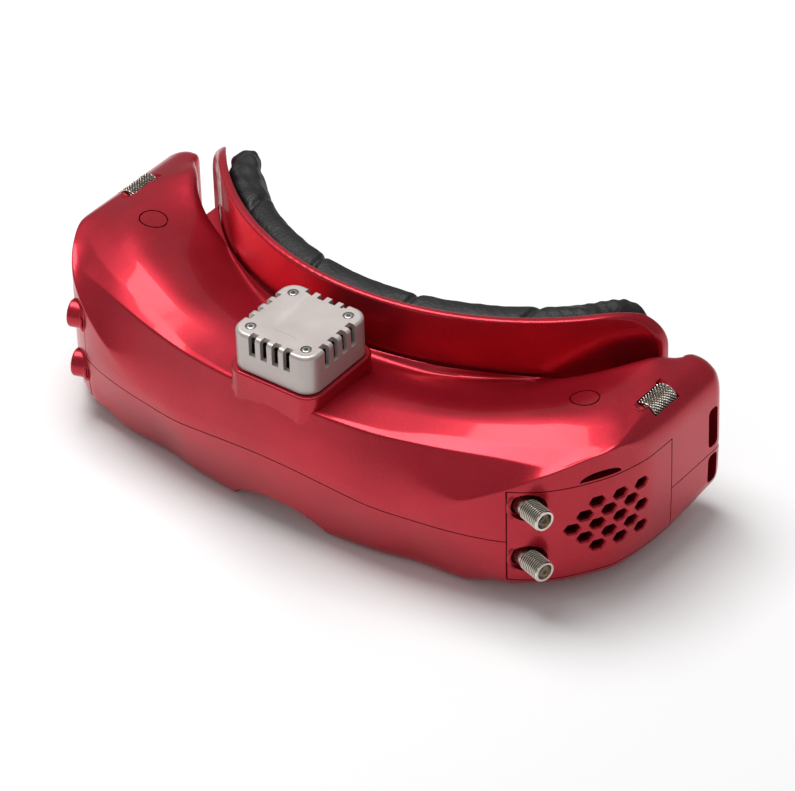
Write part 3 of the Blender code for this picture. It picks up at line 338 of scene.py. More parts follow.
def slot_outline(low, high, radius):
    """A slot in two coordinates, with round corners of the radius."""
    angle = np.radians(90 * (np.arange(4)[:, None] + np.linspace(0, 1, 7)[None, :]))
    corner = np.array(((high[0] - radius, high[1] - radius), (low[0] + radius, high[1] - radius),
                       (low[0] + radius, low[1] + radius), (high[0] - radius, low[1] + radius)))[:, None, :]
    return (corner + np.stack((np.cos(angle), np.sin(angle)), axis=-1) * radius).reshape(-1, 2)


def screw_head(name, centre, way, radius, height, shank_radius, shank_length):
    """A socket head: a domed disc on a shank, with a hexagon sunk in it."""
    profile = [(shank_radius, -shank_length), (shank_radius, 0), (radius, 0), (radius, height * 0.55)]
    profile += [(radius - 0.3 * radius * (1 - math.cos(a)), height * (0.55 + 0.45 * math.sin(a)))
                for a in quarter_turn(6)[1:]]
    piece = turned(name, profile, centre, way, 48)
    top = np.array(centre) + np.array(way) * height
    socket = turned("socket", ((radius * 0.5, -height * 0.75), (radius * 0.5, 0.4)), top, way, 6)
    carve(piece, [socket])
    return piece


# ---------------------------------------------------------------- body surface

def follow(line, station):
    """Points of a feature line at stations.

    A monotone cubic through the line's knots: its slope at a knot is the harmonic mean of the slopes on either
    side, or nothing where they change sign. At x = 0 it is level in y and z, so the two halves meet smoothly.
    """
    t, value = line[:, 0], line[:, 1:]
    step = np.diff(t)[:, None]
    slope = np.diff(value, axis=0) / step
    before, after = slope[:-1], slope[1:]
    same = before * after > 0
    weight_before = 2 * step[1:] + step[:-1]
    weight_after = step[1:] + 2 * step[:-1]
    mean = (weight_before + weight_after) / (weight_before / np.where(same, before, 1)
                                             + weight_after / np.where(same, after, 1))
    tangent = np.vstack((slope[:1] * (1, 0, 0), np.where(same, mean, 0), slope[-1:]))
    i = np.clip(np.searchsorted(t, station, side="right") - 1, 0, len(t) - 2)
    s = ((station - t[i])[:, None]) / step[i]
    return ((2 * s ** 3 - 3 * s ** 2 + 1) * value[i] + (s ** 3 - 2 * s ** 2 + s) * step[i] * tangent[i]
            + (3 * s ** 2 - 2 * s ** 3) * value[i + 1] + (s ** 3 - s ** 2) * step[i] * tangent[i + 1])


def section(station, arc=6, fill=5):
    """The body's closed sections at stations, as (station, point, xyz).

    A section joins nine corners by straight sides. Each corner is a quadratic arc that starts and ends at its
    own reach along the two sides, at most 0.42 of each.
    """
    station = np.atleast_1d(station).astype(float)
    corner = np.stack([follow(line, station) for line in LINES], axis=1)
    ear = np.clip((station - 8.2) / 0.8, 0, 1)
    front = np.clip((4.2 - station) / 1.2, 0, 1)
    flat = np.ones_like(station)
    reach = np.stack((3 * flat, 0.8 * flat, 1.5 * flat, 5 * flat, 9 * flat, 0.5 + 6 * front + 3 * ear,
                      0.6 + 2 * ear, 0.6 + 2 * ear, 9 * flat), axis=1)[..., None]
    before = np.roll(corner, 1, axis=1) - corner
    after = np.roll(corner, -1, axis=1) - corner
    length_before = np.linalg.norm(before, axis=2, keepdims=True)
    length_after = np.linalg.norm(after, axis=2, keepdims=True)
    start = corner + before / length_before * np.minimum(reach, 0.42 * length_before)
    end = corner + after / length_after * np.minimum(reach, 0.42 * length_after)
    t = np.linspace(0, 1, arc)[None, None, :, None]
    bend = (1 - t) ** 2 * start[:, :, None] + 2 * t * (1 - t) * corner[:, :, None] + t ** 2 * end[:, :, None]
    t = (np.arange(1, fill + 1) / (fill + 1))[None, None, :, None]
    side = end[:, :, None] * (1 - t) + np.roll(start, -1, axis=1)[:, :, None] * t
    return np.concatenate((bend, side), axis=2).reshape(len(station), -1, 3)


def mirrored(half):
    """Both halves of a body from the half at x > 0, whose first section lies at x = 0."""
    return np.concatenate((half[:0:-1] * (-1, 1, 1), half))


def body_form(name):
    """The outer form: sections fanned round the crescent, then the ears' rounded ends.

    An ear's end shrinks the last section about its middle by the cosine of a quarter turn while it moves back
    by the sine.
    """
    half = section(np.linspace(0, LAST_STATION, 111))
    last = half[-1]
    turn = np.radians(np.linspace(10, 90, 9))[:, None, None]
    middle = last.mean(axis=0)
    scale = 1 - EAR_ROUND * (1 - np.cos(turn)) / EAR_MIDDLE_REACH
    ends = middle + (last - middle)[None] * scale
    ends[..., 1] = (last[:, 1] + (EAR_END_Y - last[:, 1]) * np.sin(turn[..., 0]))
    return grid_mesh(name, mirrored(np.concatenate((half, ends))))


def hollow_form(name):
    """The space inside: each section shrunk about its middle by the wall's thickness, short of the ears' ends."""
    half = section(np.linspace(0, 9.5, 60), arc=3, fill=1)
    middle = (half.max(axis=1, keepdims=True) + half.min(axis=1, keepdims=True)) / 2
    across = (half - middle)[..., :2]
    width = np.linalg.norm(across, axis=2).max(axis=1)[:, None, None]
    height = abs(half - middle)[..., 2].max(axis=1)[:, None, None]
    scale = np.concatenate((1 - WALL / width, 1 - WALL / width, 1 - WALL / height), axis=2)
    return grid_mesh(name, mirrored(middle + (half - middle) * scale))


def outer_face(station, z):
    """Points on the outer face at stations and heights, found along each section's front and side."""
    columns = section(station, arc=9, fill=9)
    per = 18
    face = columns[:, 3 * per:6 * per]
    k = np.clip((face[..., 2] < z[:, None]).sum(axis=1), 1, face.shape[1] - 1)
    at = np.arange(len(z))
    low, high = face[at, k - 1], face[at, k]
    t = ((z - low[:, 2]) / np.maximum(high[:, 2] - low[:, 2], 1e-6))[:, None]
    return low + (high - low) * t


def outward(station):
    """Level direction out of the side at stations: the seam's plan direction turned a quarter."""
    ahead = follow(SEAM, np.minimum(station + 0.02, LAST_STATION)) - follow(SEAM, station - 0.02)
    normal = np.stack((ahead[:, 1], -ahead[:, 0], np.zeros(len(ahead))), axis=1)
    return normal / np.linalg.norm(normal, axis=1, keepdims=True)


def side_station(distance):
    """Station at a distance along the seam, measured from the side cover's front edge."""
    station = np.linspace(4.6, LAST_STATION, 321)
    path = follow(SEAM, station)[:, :2]
    run = np.concatenate(([0], np.cumsum(np.hypot(*np.diff(path, axis=0).T))))
    return np.interp(distance, run - np.interp(COVER_FRONT_X, path[:, 0], run), station)


def parting_height(x):
    """Height of the line between the shells: level at the sides, with a raised cosine at the front."""
    return 21.5 + 1.6 * (1 + np.cos(np.pi * np.clip(x / 46, -1, 1)))


def groove(name, point, normal, depth, closed=False):
    """A V-shaped cutter along a path on the surface, whose sides open at 45 degrees."""
    ahead = np.roll(point, -1, axis=0) - np.roll(point, 1, axis=0)
    if not closed:
        ahead[0] = point[1] - point[0]
        ahead[-1] = point[-1] - point[-2]
    across = np.cross(normal, ahead)
    across /= np.linalg.norm(across, axis=1, keepdims=True)
    top = point + normal * 0.6
    grid = np.stack((top + across * (depth + 0.6), point - normal * depth, top - across * (depth + 0.6)), axis=1)
    return grid_mesh(name, grid, close_rows=closed)


def parting_groove(name):
    depth = settings("shell").groove / MM
    station = np.linspace(0, LAST_STATION - 0.01, 150)
    point = outer_face(station, parting_height(follow(SEAM, station)[:, 0]))
    normal = outward(station)
    point = np.concatenate((point[:0:-1] * (-1, 1, 1), point))
    normal = np.concatenate((normal[:0:-1] * (-1, 1, 1), normal))
    return groove(name, point, normal, depth)


def cover_groove(name, side):
    """The groove round a side cover, as one closed path on the surface."""
    depth = settings("shell").groove / MM
    along = np.linspace(0, COVER_LENGTH, 50)
    rise = np.linspace(COVER_BOTTOM_Z, COVER_TOP_Z, 24)[1:-1]
    distance = np.concatenate((along, np.full(len(rise), COVER_LENGTH), along[::-1], np.zeros(len(rise))))
    z = np.concatenate((np.full(50, COVER_BOTTOM_Z), rise, np.full(50, COVER_TOP_Z), rise[::-1]))
    station = side_station(distance)
    return groove(name, outer_face(station, z) * (side, 1, 1), outward(station) * (side, 1, 1), depth, closed=True)


def side_band(name, first, last, outer, inner, low, high, side):
    """A band that follows the side between two distances, from inside the wall to outside it."""
    station = side_station(np.linspace(first, last, 41))
    place, normal = follow(SEAM, station)[:, :2], outward(station)[:, :2]
    outline = np.concatenate((place + normal * outer, (place - normal * inner)[::-1])) * (side, 1)
    return prism(name, outline, ((low, 0), (high, 0)))


def arch_tool(name, grow=0.0):
    """The nose notch: half an ellipse in x and z that rises from front to rear."""
    angle = np.linspace(0, np.pi, 41)
    y = np.array((-52.0, -36.0, 14.0))
    top = np.array((7.0, 9.0, 16.0)) + grow + 1
    x = (17.4 + grow) * np.cos(angle)[None] + 0 * y[:, None]
    z = top[:, None] * np.sin(angle)[None] - 1
    foot = np.array((-1.0, 1.0)) * (17.4 + grow)
    x = np.concatenate((x, np.repeat(foot[None], 3, axis=0)), axis=1)
    z = np.concatenate((z, np.full((3, 2), -8.0)), axis=1)
    return grid_mesh(name, np.stack((x, np.repeat(y[:, None], x.shape[1], axis=1), z), axis=-1))


def parting_tool(name, offset, far_z):
    """Everything on one side of the parting line, as an outline in x and z carried along y."""
    x = np.linspace(-50, 50, 81)
    line = np.stack((x, parting_height(x) + offset), axis=1)
    ends = np.array(((110, 21.5 + offset), (110, far_z), (-110, far_z), (-110, 21.5 + offset)))
    return prism(name, np.concatenate((line, ends)), ((-70, 0), (70, 0)), "Y")


# ---------------------------------------------------------------- face arc

def arc_y(x, offset):
    """Circle of the face in plan, moved towards the face by an offset."""
    radius = FACE_RADIUS - offset
    return FACE_FRONT_Y + FACE_RADIUS - np.sqrt(np.maximum(radius ** 2 - x ** 2, 1))


def arc_band(x, front, rear):
    """Outline of a band between two offsets of the face arc."""
    return np.concatenate((np.stack((x, arc_y(x, front)), 1), np.stack((x, arc_y(x, rear)), 1)[::-1]))


def frame_y(x, offset):
    """The face arc, which runs out into a flatter flange past the flare."""
    x = abs(x)
    edge = np.minimum(x, FLARE_X)
    return arc_y(edge, offset) + (x - edge) * FLARE_SLOPE


def foam_back_y(x):
    return np.minimum(arc_y(np.minimum(abs(x), 69.0), FRAME_WALL + FOAM_DEPTH), FOAM_REAR_Y)


def plate_outline(half_width, low, high, top_round, bottom_round, arch_half, arch_top, count, centre_z):
    """Radius of a plate's outline about (0, centre_z) at even angles.

    The outline is a rectangle with round corners, whose lower edge has an arch of the form sin to the 0.8.
    """
    a = np.linspace(0, np.pi / 2, 24)
    bottom = np.stack((half_width - bottom_round + bottom_round * np.sin(a),
                       low + bottom_round - bottom_round * np.cos(a)), axis=1)
    top = np.stack((half_width - top_round + top_round * np.cos(a), high - top_round + top_round * np.sin(a)), axis=1)
    half = np.linspace(np.pi / 2, 0, 60)
    arch = np.stack((arch_half * np.cos(half), low + (arch_top - low) * np.sin(half) ** 0.8), axis=1)
    right = np.concatenate((arch, bottom, top, ((0, high),)))
    dense = np.linspace(0, 1, 2400)
    index = np.linspace(0, 1, len(right))
    x, z = np.interp(dense, index, right[:, 0]), np.interp(dense, index, right[:, 1])
    angle = np.arctan2(x, centre_z - z)
    order = np.argsort(angle)
    turn = np.linspace(-np.pi, np.pi, count, endpoint=False)
    return np.interp(abs(turn), angle[order], np.hypot(x, z - centre_z)[order]), turn


# ---------------------------------------------------------------- node groups and materials

def node_group(name, inputs, outputs):
    """An empty shader node group with named inputs and outputs."""
    group = bpy.data.node_groups.new(name, "ShaderNodeTree")
    for label, kind, value in inputs:
        group.interface.new_socket(name=label, in_out="INPUT", socket_type="NodeSocket" + kind).default_value = value
    for label, kind in outputs:
        group.interface.new_socket(name=label, in_out="OUTPUT", socket_type="NodeSocket" + kind)
    return group, group.nodes.new("NodeGroupInput"), group.nodes.new("NodeGroupOutput")


def texture(tree, kind, vector, scale, **extra):
    """A texture node at a scale per metre."""
    node = tree.nodes.new("ShaderNodeTex" + kind)
    tree.links.new(vector, node.inputs["Vector"])
    if hasattr(scale, "links"):
        tree.links.new(scale, node.inputs["Scale"])
    else:
        node.inputs["Scale"].default_value = scale
    for label, value in extra.items():
        if label in node.inputs:
            node.inputs[label].default_value = value
        else:
            setattr(node, label, value)
    return node


def mixed(tree, factor, first, second):
    """A colour mix of two colours or sockets."""
    node = tree.nodes.new("ShaderNodeMix")
    node.data_type = "RGBA"
    tree.links.new(factor, node.inputs[0])
    for socket, value in ((node.inputs[6], first), (node.inputs[7], second)):
        if hasattr(value, "is_output"):
            tree.links.new(value, socket)
        else:
            socket.default_value = (*value[:3], 1)
    return node.outputs[2]


def ranged(tree, value, low, high, first=0.0, last=1.0):
    """A value taken from one range to another."""
    node = tree.nodes.new("ShaderNodeMapRange")
    node.inputs["From Min"].default_value = first
    node.inputs["From Max"].default_value = last
    tree.links.new(value, node.inputs["Value"])
    for label, bound in (("To Min", low), ("To Max", high)):
        if hasattr(bound, "is_output"):
            tree.links.new(bound, node.inputs[label])
        else:
            node.inputs[label].default_value = bound
    return node.outputs["Result"]


def make_soft_tone():
    """Soft variation: two sizes of noise mix two colours and move the roughness between two values."""
    group, source, sink = node_group("soft_tone", (
        ("Vector", "Vector", (0, 0, 0)), ("Color", "Color", (1, 1, 1, 1)), ("Second Color", "Color", (0, 0, 0, 1)),
        ("Scale", "Float", 40.0), ("Smooth", "Float", 0.3), ("Rough", "Float", 0.5)),
        (("Color", "Color"), ("Roughness", "Float")))
    tree = group
    wide = texture(tree, "Noise", source.outputs["Vector"], source.outputs["Scale"], Detail=3.0, Roughness=0.55)
    fine = texture(tree, "Noise", source.outputs["Vector"], 900.0, Detail=2.0)
    tone = mixed(tree, ranged(tree, wide.outputs[0], 0.0, 1.0, 0.3, 0.72), source.outputs["Second Color"],
                 source.outputs["Color"])
    tree.links.new(tone, sink.inputs["Color"])
    add = tree.nodes.new("ShaderNodeMath")
    add.operation = "MULTIPLY_ADD"
    tree.links.new(fine.outputs[0], add.inputs[0])
    add.inputs[1].default_value = 0.35
    tree.links.new(wide.outputs[0], add.inputs[2])
    rough = ranged(tree, add.outputs[0], source.outputs["Smooth"], source.outputs["Rough"], 0.35, 1.0)
    tree.links.new(rough, sink.inputs["Roughness"])
    return group


def make_fine_grain():
    """Fine grain: cells and noise as one height, for moulded plastic, foam and leather."""
    group, source, sink = node_group("fine_grain", (
        ("Vector", "Vector", (0, 0, 0)), ("Scale", "Float", 900.0), ("Cells", "Float", 0.5)),
        (("Height", "Float"), ("Mask", "Float")))
    cells = texture(group, "Voronoi", source.outputs["Vector"], source.outputs["Scale"], feature="SMOOTH_F1")
    noise = texture(group, "Noise", source.outputs["Vector"], source.outputs["Scale"], Detail=4.0, Roughness=0.6)
    blend = group.nodes.new("ShaderNodeMix")
    blend.data_type = "FLOAT"
    group.links.new(source.outputs["Cells"], blend.inputs[0])
    group.links.new(noise.outputs[0], blend.inputs[2])
    group.links.new(cells.outputs["Distance"], blend.inputs[3])
    group.links.new(blend.outputs[0], sink.inputs["Height"])
    group.links.new(ranged(group, cells.outputs["Distance"], 0.0, 1.0, 0.1, 0.6), sink.inputs["Mask"])
    return group


def make_flake():
    """Metal flake: every small cell gets its own brightness, as a mask."""
    group, source, sink = node_group("flake", (
        ("Vector", "Vector", (0, 0, 0)), ("Scale", "Float", 3200.0)), (("Mask", "Float"), ("Height", "Float")))
    cells = texture(group, "Voronoi", source.outputs["Vector"], source.outputs["Scale"])
    split = group.nodes.new("ShaderNodeSeparateColor")
    group.links.new(cells.outputs["Color"], split.inputs[0])
    group.links.new(ranged(group, split.outputs[0], 0.0, 1.0, 0.2, 1.0), sink.inputs["Mask"])
    group.links.new(split.outputs[1], sink.inputs["Height"])
    return group


GROUPS = {}
MATERIALS = {}


def placed(tree, group, **values):
    """A node group in a material, fed with Object coordinates and the material's own values."""
    node = tree.nodes.new("ShaderNodeGroup")
    node.node_tree = GROUPS[group]
    place = tree.nodes.new("ShaderNodeTexCoord")
    tree.links.new(place.outputs["Object"], node.inputs["Vector"])
    for label, value in values.items():
        node.inputs[label.replace("_", " ")].default_value = (*value[:3], 1) if hasattr(value, "__len__") else value
    return node


def material(name, metallic=0.0, **constants):
    """A new material whose shader has the given constants on its own sockets."""
    made = bpy.data.materials.new(name)
    made.use_nodes = True
    shader = made.node_tree.nodes["Principled BSDF"]
    shader.inputs["Metallic"].default_value = metallic
    for label, value in constants.items():
        shader.inputs[label.replace("_", " ")].default_value = value
    MATERIALS[name] = made
    return made.node_tree, shader


def bumped(tree, shader, height, distance, strength=1.0):
    bump = tree.nodes.new("ShaderNodeBump")
    bump.inputs["Distance"].default_value = distance
    bump.inputs["Strength"].default_value = strength
    tree.links.new(height, bump.inputs["Height"])
    tree.links.new(bump.outputs["Normal"], shader.inputs["Normal"])


def toned(tree, shader, first, second, scale, smooth, rough):
    """Soft variation of colour and roughness on a shader."""
    tone = placed(tree, "soft_tone", Color=first, Second_Color=second, Scale=scale, Smooth=smooth, Rough=rough)
    tree.links.new(tone.outputs["Color"], shader.inputs["Base Color"])
    tree.links.new(tone.outputs["Roughness"], shader.inputs["Roughness"])
    return tone


def shade(colour, factor):
    return tuple(c * factor for c in colour[:3])


def make_materials():
    """Every finish of the goggles, with the shared groups placed in each."""
    GROUPS.update(soft_tone=make_soft_tone(), fine_grain=make_fine_grain(), flake=make_flake())
    shell, fan, controls, foam = (settings(name) for name in ("shell", "fan", "controls", "foam"))

    tree, shader = material("red_paint", 0.75, Coat_Weight=0.35, Coat_Roughness=0.06, Coat_IOR=1.45)
    tone = toned(tree, shader, shell.red, shell.deep_red, 30.0, 0.30, 0.38)
    flake = placed(tree, "flake", Scale=3000.0)
    bright = mixed(tree, ranged(tree, flake.outputs["Mask"], 0.0, 0.16), tone.outputs["Color"], (0.75, 0.03, 0.06))
    tree.links.new(bright, shader.inputs["Base Color"])
    bumped(tree, shader, flake.outputs["Height"], 0.00001, 0.5)

    tree, shader = material("silver_paint", 0.55, Coat_Weight=0.15, Coat_Roughness=0.3)
    toned(tree, shader, fan.silver, shade(fan.silver, 0.88), 60.0, 0.36, 0.46)
    grain = placed(tree, "fine_grain", Scale=4200.0, Cells=0.3)
    bumped(tree, shader, grain.outputs["Height"], 0.00001, 0.8)

    tree, shader = material("nickel", 1.0)
    tone = toned(tree, shader, controls.nickel, shade(controls.nickel, 0.8), 120.0, 0.16, 0.30)
    # Painted shade: the nickel's colour darkens towards 0.12 of itself down in the thread and knurl grooves, by the
    # "groove" depth.
    groove_depth = tree.nodes.new("ShaderNodeAttribute")
    groove_depth.attribute_name = "groove"
    groove_shaded_colour = mixed(tree, ranged(tree, groove_depth.outputs["Fac"], 0.0, 1.0, 0.15, 0.75), tone.outputs["Color"],
                 shade(controls.nickel, 0.12))
    tree.links.new(groove_shaded_colour, shader.inputs["Base Color"])
    grain = placed(tree, "fine_grain", Scale=5000.0, Cells=0.1)
    bumped(tree, shader, grain.outputs["Height"], 0.000006, 0.5)

    tree, shader = material("steel", 1.0)
    toned(tree, shader, (0.62, 0.61, 0.60), (0.50, 0.49, 0.48), 150.0, 0.20, 0.34)
    grain = placed(tree, "fine_grain", Scale=5000.0, Cells=0.1)
    bumped(tree, shader, grain.outputs["Height"], 0.000006, 0.5)

    tree, shader = material("gold", 1.0)
    toned(tree, shader, (0.86, 0.58, 0.20), (0.72, 0.46, 0.14), 200.0, 0.18, 0.3)

    tree, shader = material("black_plastic", 0.0, Specular_IOR_Level=0.45)
    toned(tree, shader, (0.022, 0.022, 0.024), (0.012, 0.012, 0.013), 90.0, 0.42, 0.6)
    grain = placed(tree, "fine_grain", Scale=2600.0, Cells=0.4)
    bumped(tree, shader, grain.outputs["Height"], 0.00003, 0.7)

    tree, shader = material("foam_leather", 0.0, Specular_IOR_Level=0.32)
    toned(tree, shader, foam.leather, shade(foam.leather, 0.55), 50.0, 0.44, 0.62)
    grain = placed(tree, "fine_grain", Scale=1150.0, Cells=0.75)
    bumped(tree, shader, grain.outputs["Height"], 0.00022, 0.85)

    tree, shader = material("optical_glass", 0.0, Transmission_Weight=0.9, IOR=1.49, Coat_Weight=0.4)
    toned(tree, shader, (0.72, 0.78, 0.92), (0.66, 0.72, 0.90), 30.0, 0.02, 0.05)

    tree, shader = material("screen", 0.0, Coat_Weight=1.0, Coat_Roughness=0.05)
    toned(tree, shader, (0.010, 0.012, 0.02), (0.006, 0.007, 0.012), 30.0, 0.12, 0.2)

    tree, shader = material("circuit_board", 0.0)
    tone = toned(tree, shader, (0.012, 0.085, 0.035), (0.006, 0.05, 0.02), 300.0, 0.35, 0.55)
    traces = placed(tree, "fine_grain", Scale=700.0, Cells=1.0)
    copper = mixed(tree, ranged(tree, traces.outputs["Mask"], 0.25, 0.0), tone.outputs["Color"], (0.35, 0.28, 0.08))
    tree.links.new(copper, shader.inputs["Base Color"])
    bumped(tree, shader, traces.outputs["Height"], 0.00005, 0.5)

    tree, shader = material("white_insulator", 0.0, Subsurface_Weight=0.1)
    toned(tree, shader, (0.80, 0.78, 0.73), (0.72, 0.70, 0.65), 200.0, 0.35, 0.5)

    tree, shader = material("cable_black", 0.0)
    toned(tree, shader, (0.016, 0.016, 0.017), (0.01, 0.01, 0.01), 200.0, 0.4, 0.55)
    grain = placed(tree, "fine_grain", Scale=1800.0, Cells=0.2)
    bumped(tree, shader, grain.outputs["Height"], 0.00003, 0.6)


# ---------------------------------------------------------------- shells

def vent_tools(name, side):
    """Hexagon tubes for every vent of a side, wider at the surface, as one stack of grids."""
    flare = settings("shell").vent_flare
    column = np.concatenate([np.full(len(rows), k) for k, rows in enumerate(VENT_ROWS)])
    row = np.concatenate([np.array(rows) for rows in VENT_ROWS])
    station = side_station(VENT_START + column * VENT_PITCH)
    z = EYE_Z + 0.1 + row * VENT_PITCH
    place = outer_face(station, z)
    out = outward(station)
    run = np.cross((0, 0, 1.0), out)
    angle = np.radians(np.arange(6) * 60)
    depth = np.array((1.2, 0.0, -0.5, -7.0))
    size = np.array((1.0 + (flare - 1) * 3, flare, 1.0, 1.0))
    u = 2.3 * size[:, None] * np.cos(angle)
    v = 1.75 * size[:, None] * np.sin(angle)
    up = np.array((0, 0, 1.0))
    grid = (place[:, None, None] + run[:, None, None] * u[None, ..., None] + up * v[None, ..., None]
            + out[:, None, None] * depth[None, :, None, None])
    return grid_mesh(name, grid * (side, 1, 1))


def crescent_tool(name, side):
    """An arched slit above the side cover: a flat base under half an ellipse, carried through the wall."""
    station = side_station(np.array((26.3,)))
    place, out = follow(SEAM, station)[0], outward(station)[0]
    run = np.cross((0, 0, 1.0), out)
    angle = np.linspace(0.03, np.pi - 0.03, 41)
    u = np.concatenate(((-6.2, 6.2), 6.2 * np.cos(angle)))
    v = np.concatenate(((-0.06, -0.06), 2.3 * np.sin(angle)))
    depth = np.array((-8.0, 8.0))
    base = np.array((place[0], place[1], COVER_TOP_Z + 0.75))
    grid = (base + run * u[None, :, None] + np.array((0, 0, 1.0)) * v[None, :, None]
            + out * depth[:, None, None])
    return grid_mesh(name, grid * (side, 1, 1))


def wheel_room(centre):
    """Cutters round a scroll wheel: a trough about its axle, room for its fork, a rear ramp and a front scoop."""
    x, y, z = centre
    trough = turned("wheel_trough", ((4.1, -5.7), (4.1, 5.7)), (x, y, z), (0, 1, 0), 64)
    fork = block("fork_room", (x - 2.4, y - 7.3, z - 6), (x + 2.4, y + 7.3, z + 1.6))
    low = block("low_room", (x - 4.1, y - 5.7, z - 6), (x + 4.1, y + 5.7, z))
    outline = np.array(((y + 5.0, 47.0), (y + 9.4, 52.0), (y + 4.0, 52.0), (y + 4.0, 47.0)))
    ramp = prism("rear_ramp", outline, ((x - 2.9, 0), (x + 2.9, 0)), "X")
    angle = np.linspace(-np.pi / 2 + 0.05, np.pi / 2 - 0.05, 24)
    scoop = turned("front_scoop", np.stack((3.1 * np.cos(angle), 3.6 * np.sin(angle)), 1), (x, y - 6.3, 51.2),
                   (0, 1, 0), 48)
    return [trough, fork, low, ramp, scoop]


def shell_tools(level, side):
    """Cutters that both shells share on one side, for the cover window and the strap slot."""
    low, high = STRAP_SLOTS[level]
    x = sorted((78 * side, 104 * side))
    return [
        side_band("cover_window", -GAP / 2, COVER_LENGTH + GAP / 2, 4, 5, COVER_BOTTOM_Z - GAP / 2,
                  COVER_TOP_Z + GAP / 2, side),
        cover_groove("cover_edge", side),
        prism("strap_slot", slot_outline((31.0, low), (35.4, high), 1.6), ((x[0], 0), (x[1], 0)), "X"),
        turned("ear_notch", ((1.3, 0), (1.3, 30)), (76 * side, 37.6, 21.5), (side, 0, 0), 32),
    ]


class GOGGLES_OT_shells(bpy.types.Operator):
    """Build the painted upper and lower shells"""
    bl_idname = "goggles.shells"
    bl_label = "Shells"

    def execute(self, context):
        x, y, z = middle_of("fan_cover")
        base = node_box("fan_cover")[0][2] - GAP
        upper = body_form("painted_upper_shell")
        carve(upper, [parting_tool("above", GAP / 2, 90)], "INTERSECT")
        roll = [(base - 0.6 * (1 - math.sin(a)), -0.6 * (1 - math.cos(a))) for a in quarter_turn(5)]
        outline = rounded_square(PEDESTAL_HALF, 5.0, 10, (x, y))
        carve(upper, [prism("pedestal", outline, [(36, 0), *roll])], "UNION")
        carve(upper, cheeks(21.5 + GAP / 2, 41.0), "UNION")
        tools = [hollow_form("hollow"), self.opening(), parting_groove("parting_edge"),
                  prism("fan_well", rounded_square(11.0, 3.0, 6, (x, y)), ((30, 0), (base - 2, 0))),
                  turned("fan_inlet", ((9.2, 0), (9.2, 20)), (x, y, 40), (0, 0, 1), 64)]
        for name, side in SIDES:
            tools += shell_tools("upper", side) + [crescent_tool("crescent", side)]
            button, wheel = middle_of(name + "_button"), middle_of(name + "_scroll_wheel")
            tools += [turned("button_hole", ((4.8, 38), (4.8, 47.4), (4.2, 47.4), (4.2, 56)),
                             (button[0], button[1], 0), (0, 0, 1), 64), *wheel_room(wheel)]
        tools += frame_bores(True)
        carve(upper, tools)
        finish(upper, MATERIALS["red_paint"], "goggles", ["upper_shell"])

        lower = body_form("painted_lower_shell")
        carve(lower, [parting_tool("below", -GAP / 2, -20)], "INTERSECT")
        carve(lower, cheeks(6.5, 21.5 - GAP / 2), "UNION")
        tools = [arch_tool("notch")]
        inner = hollow_form("lower_hollow")
        carve(inner, [arch_tool("notch_wall", WALL)])
        tools += [inner, self.opening(), parting_groove("parting_edge")]
        for name, side in SIDES:
            tools += shell_tools("lower", side)
            tab = node_box(name + "_ipd_slider")
            tools.append(block("tab_slot", (tab[0][0] - 3.5, tab[0][1] - 0.6, -3),
                               (tab[1][0] + 3.5, tab[1][1] + 0.6, 6)))
        for socket in ("power_socket", "video_socket"):
            low, high = node_box(socket)
            radius = (high[0] - low[0]) / 2 + GAP
            place = ((low[0] + high[0]) / 2, (low[1] + high[1]) / 2, 0)
            tools.append(turned("socket_hole", ((radius, -4), (radius, 9)), place, (0, 0, 1), 48))
        for k in range(1, 5):
            place = middle_of(f"shell_screw_{k}") * (1, 1, 0)
            tools.append(turned("screw_seat", ((2.4, -3), (2.4, 2.4), (1.3, 2.4), (1.3, 9)), place, (0, 0, 1), 40))
        tools += frame_bores(False)
        carve(lower, tools)
        finish(lower, MATERIALS["red_paint"], "goggles", ["lower_shell"])
        return {"FINISHED"}

    @staticmethod
    def opening():
        """The opening behind the eyepieces, which stays clear of the nose notch."""
        x = np.linspace(-OPENING["half"], OPENING["half"], 61)
        opening = prism("opening", arc_band(x, -7, 1.5), ((OPENING["low"], 0), (OPENING["high"], 0)))
        carve(opening, [arch_tool("opening_arch", WALL + 0.3)])
        return opening


def cheeks(low, high):
    """The parts of a shell that reach back to the face frame, beside the rear panel's opening.

    Each is a band between two offsets of the face arc, from x = 52.6 to 71 mm.
    """
    band = arc_band(np.linspace(52.6, 71.0, 13), -9.0, -GAP)
    return [prism("cheek", band * (side, 1), ((low, 0), (high - 0.5, 0), (high - 0.15, -0.15), (high, -0.5)))
            for _, side in SIDES]


def frame_bores(upper):
    """Bores for the face frame's screws in one shell."""
    bores = []
    for k in range(1, 5):
        middle = middle_of(f"frame_screw_{k}")
        if (middle[2] > EYE_Z) == upper:
            turn = math.asin(middle[0] / FACE_RADIUS)
            way = np.array((-math.sin(turn), math.cos(turn), 0))
            bores.append(turned("frame_bore", ((1.3, -9), (1.3, 4)), middle, way, 24))
    return bores


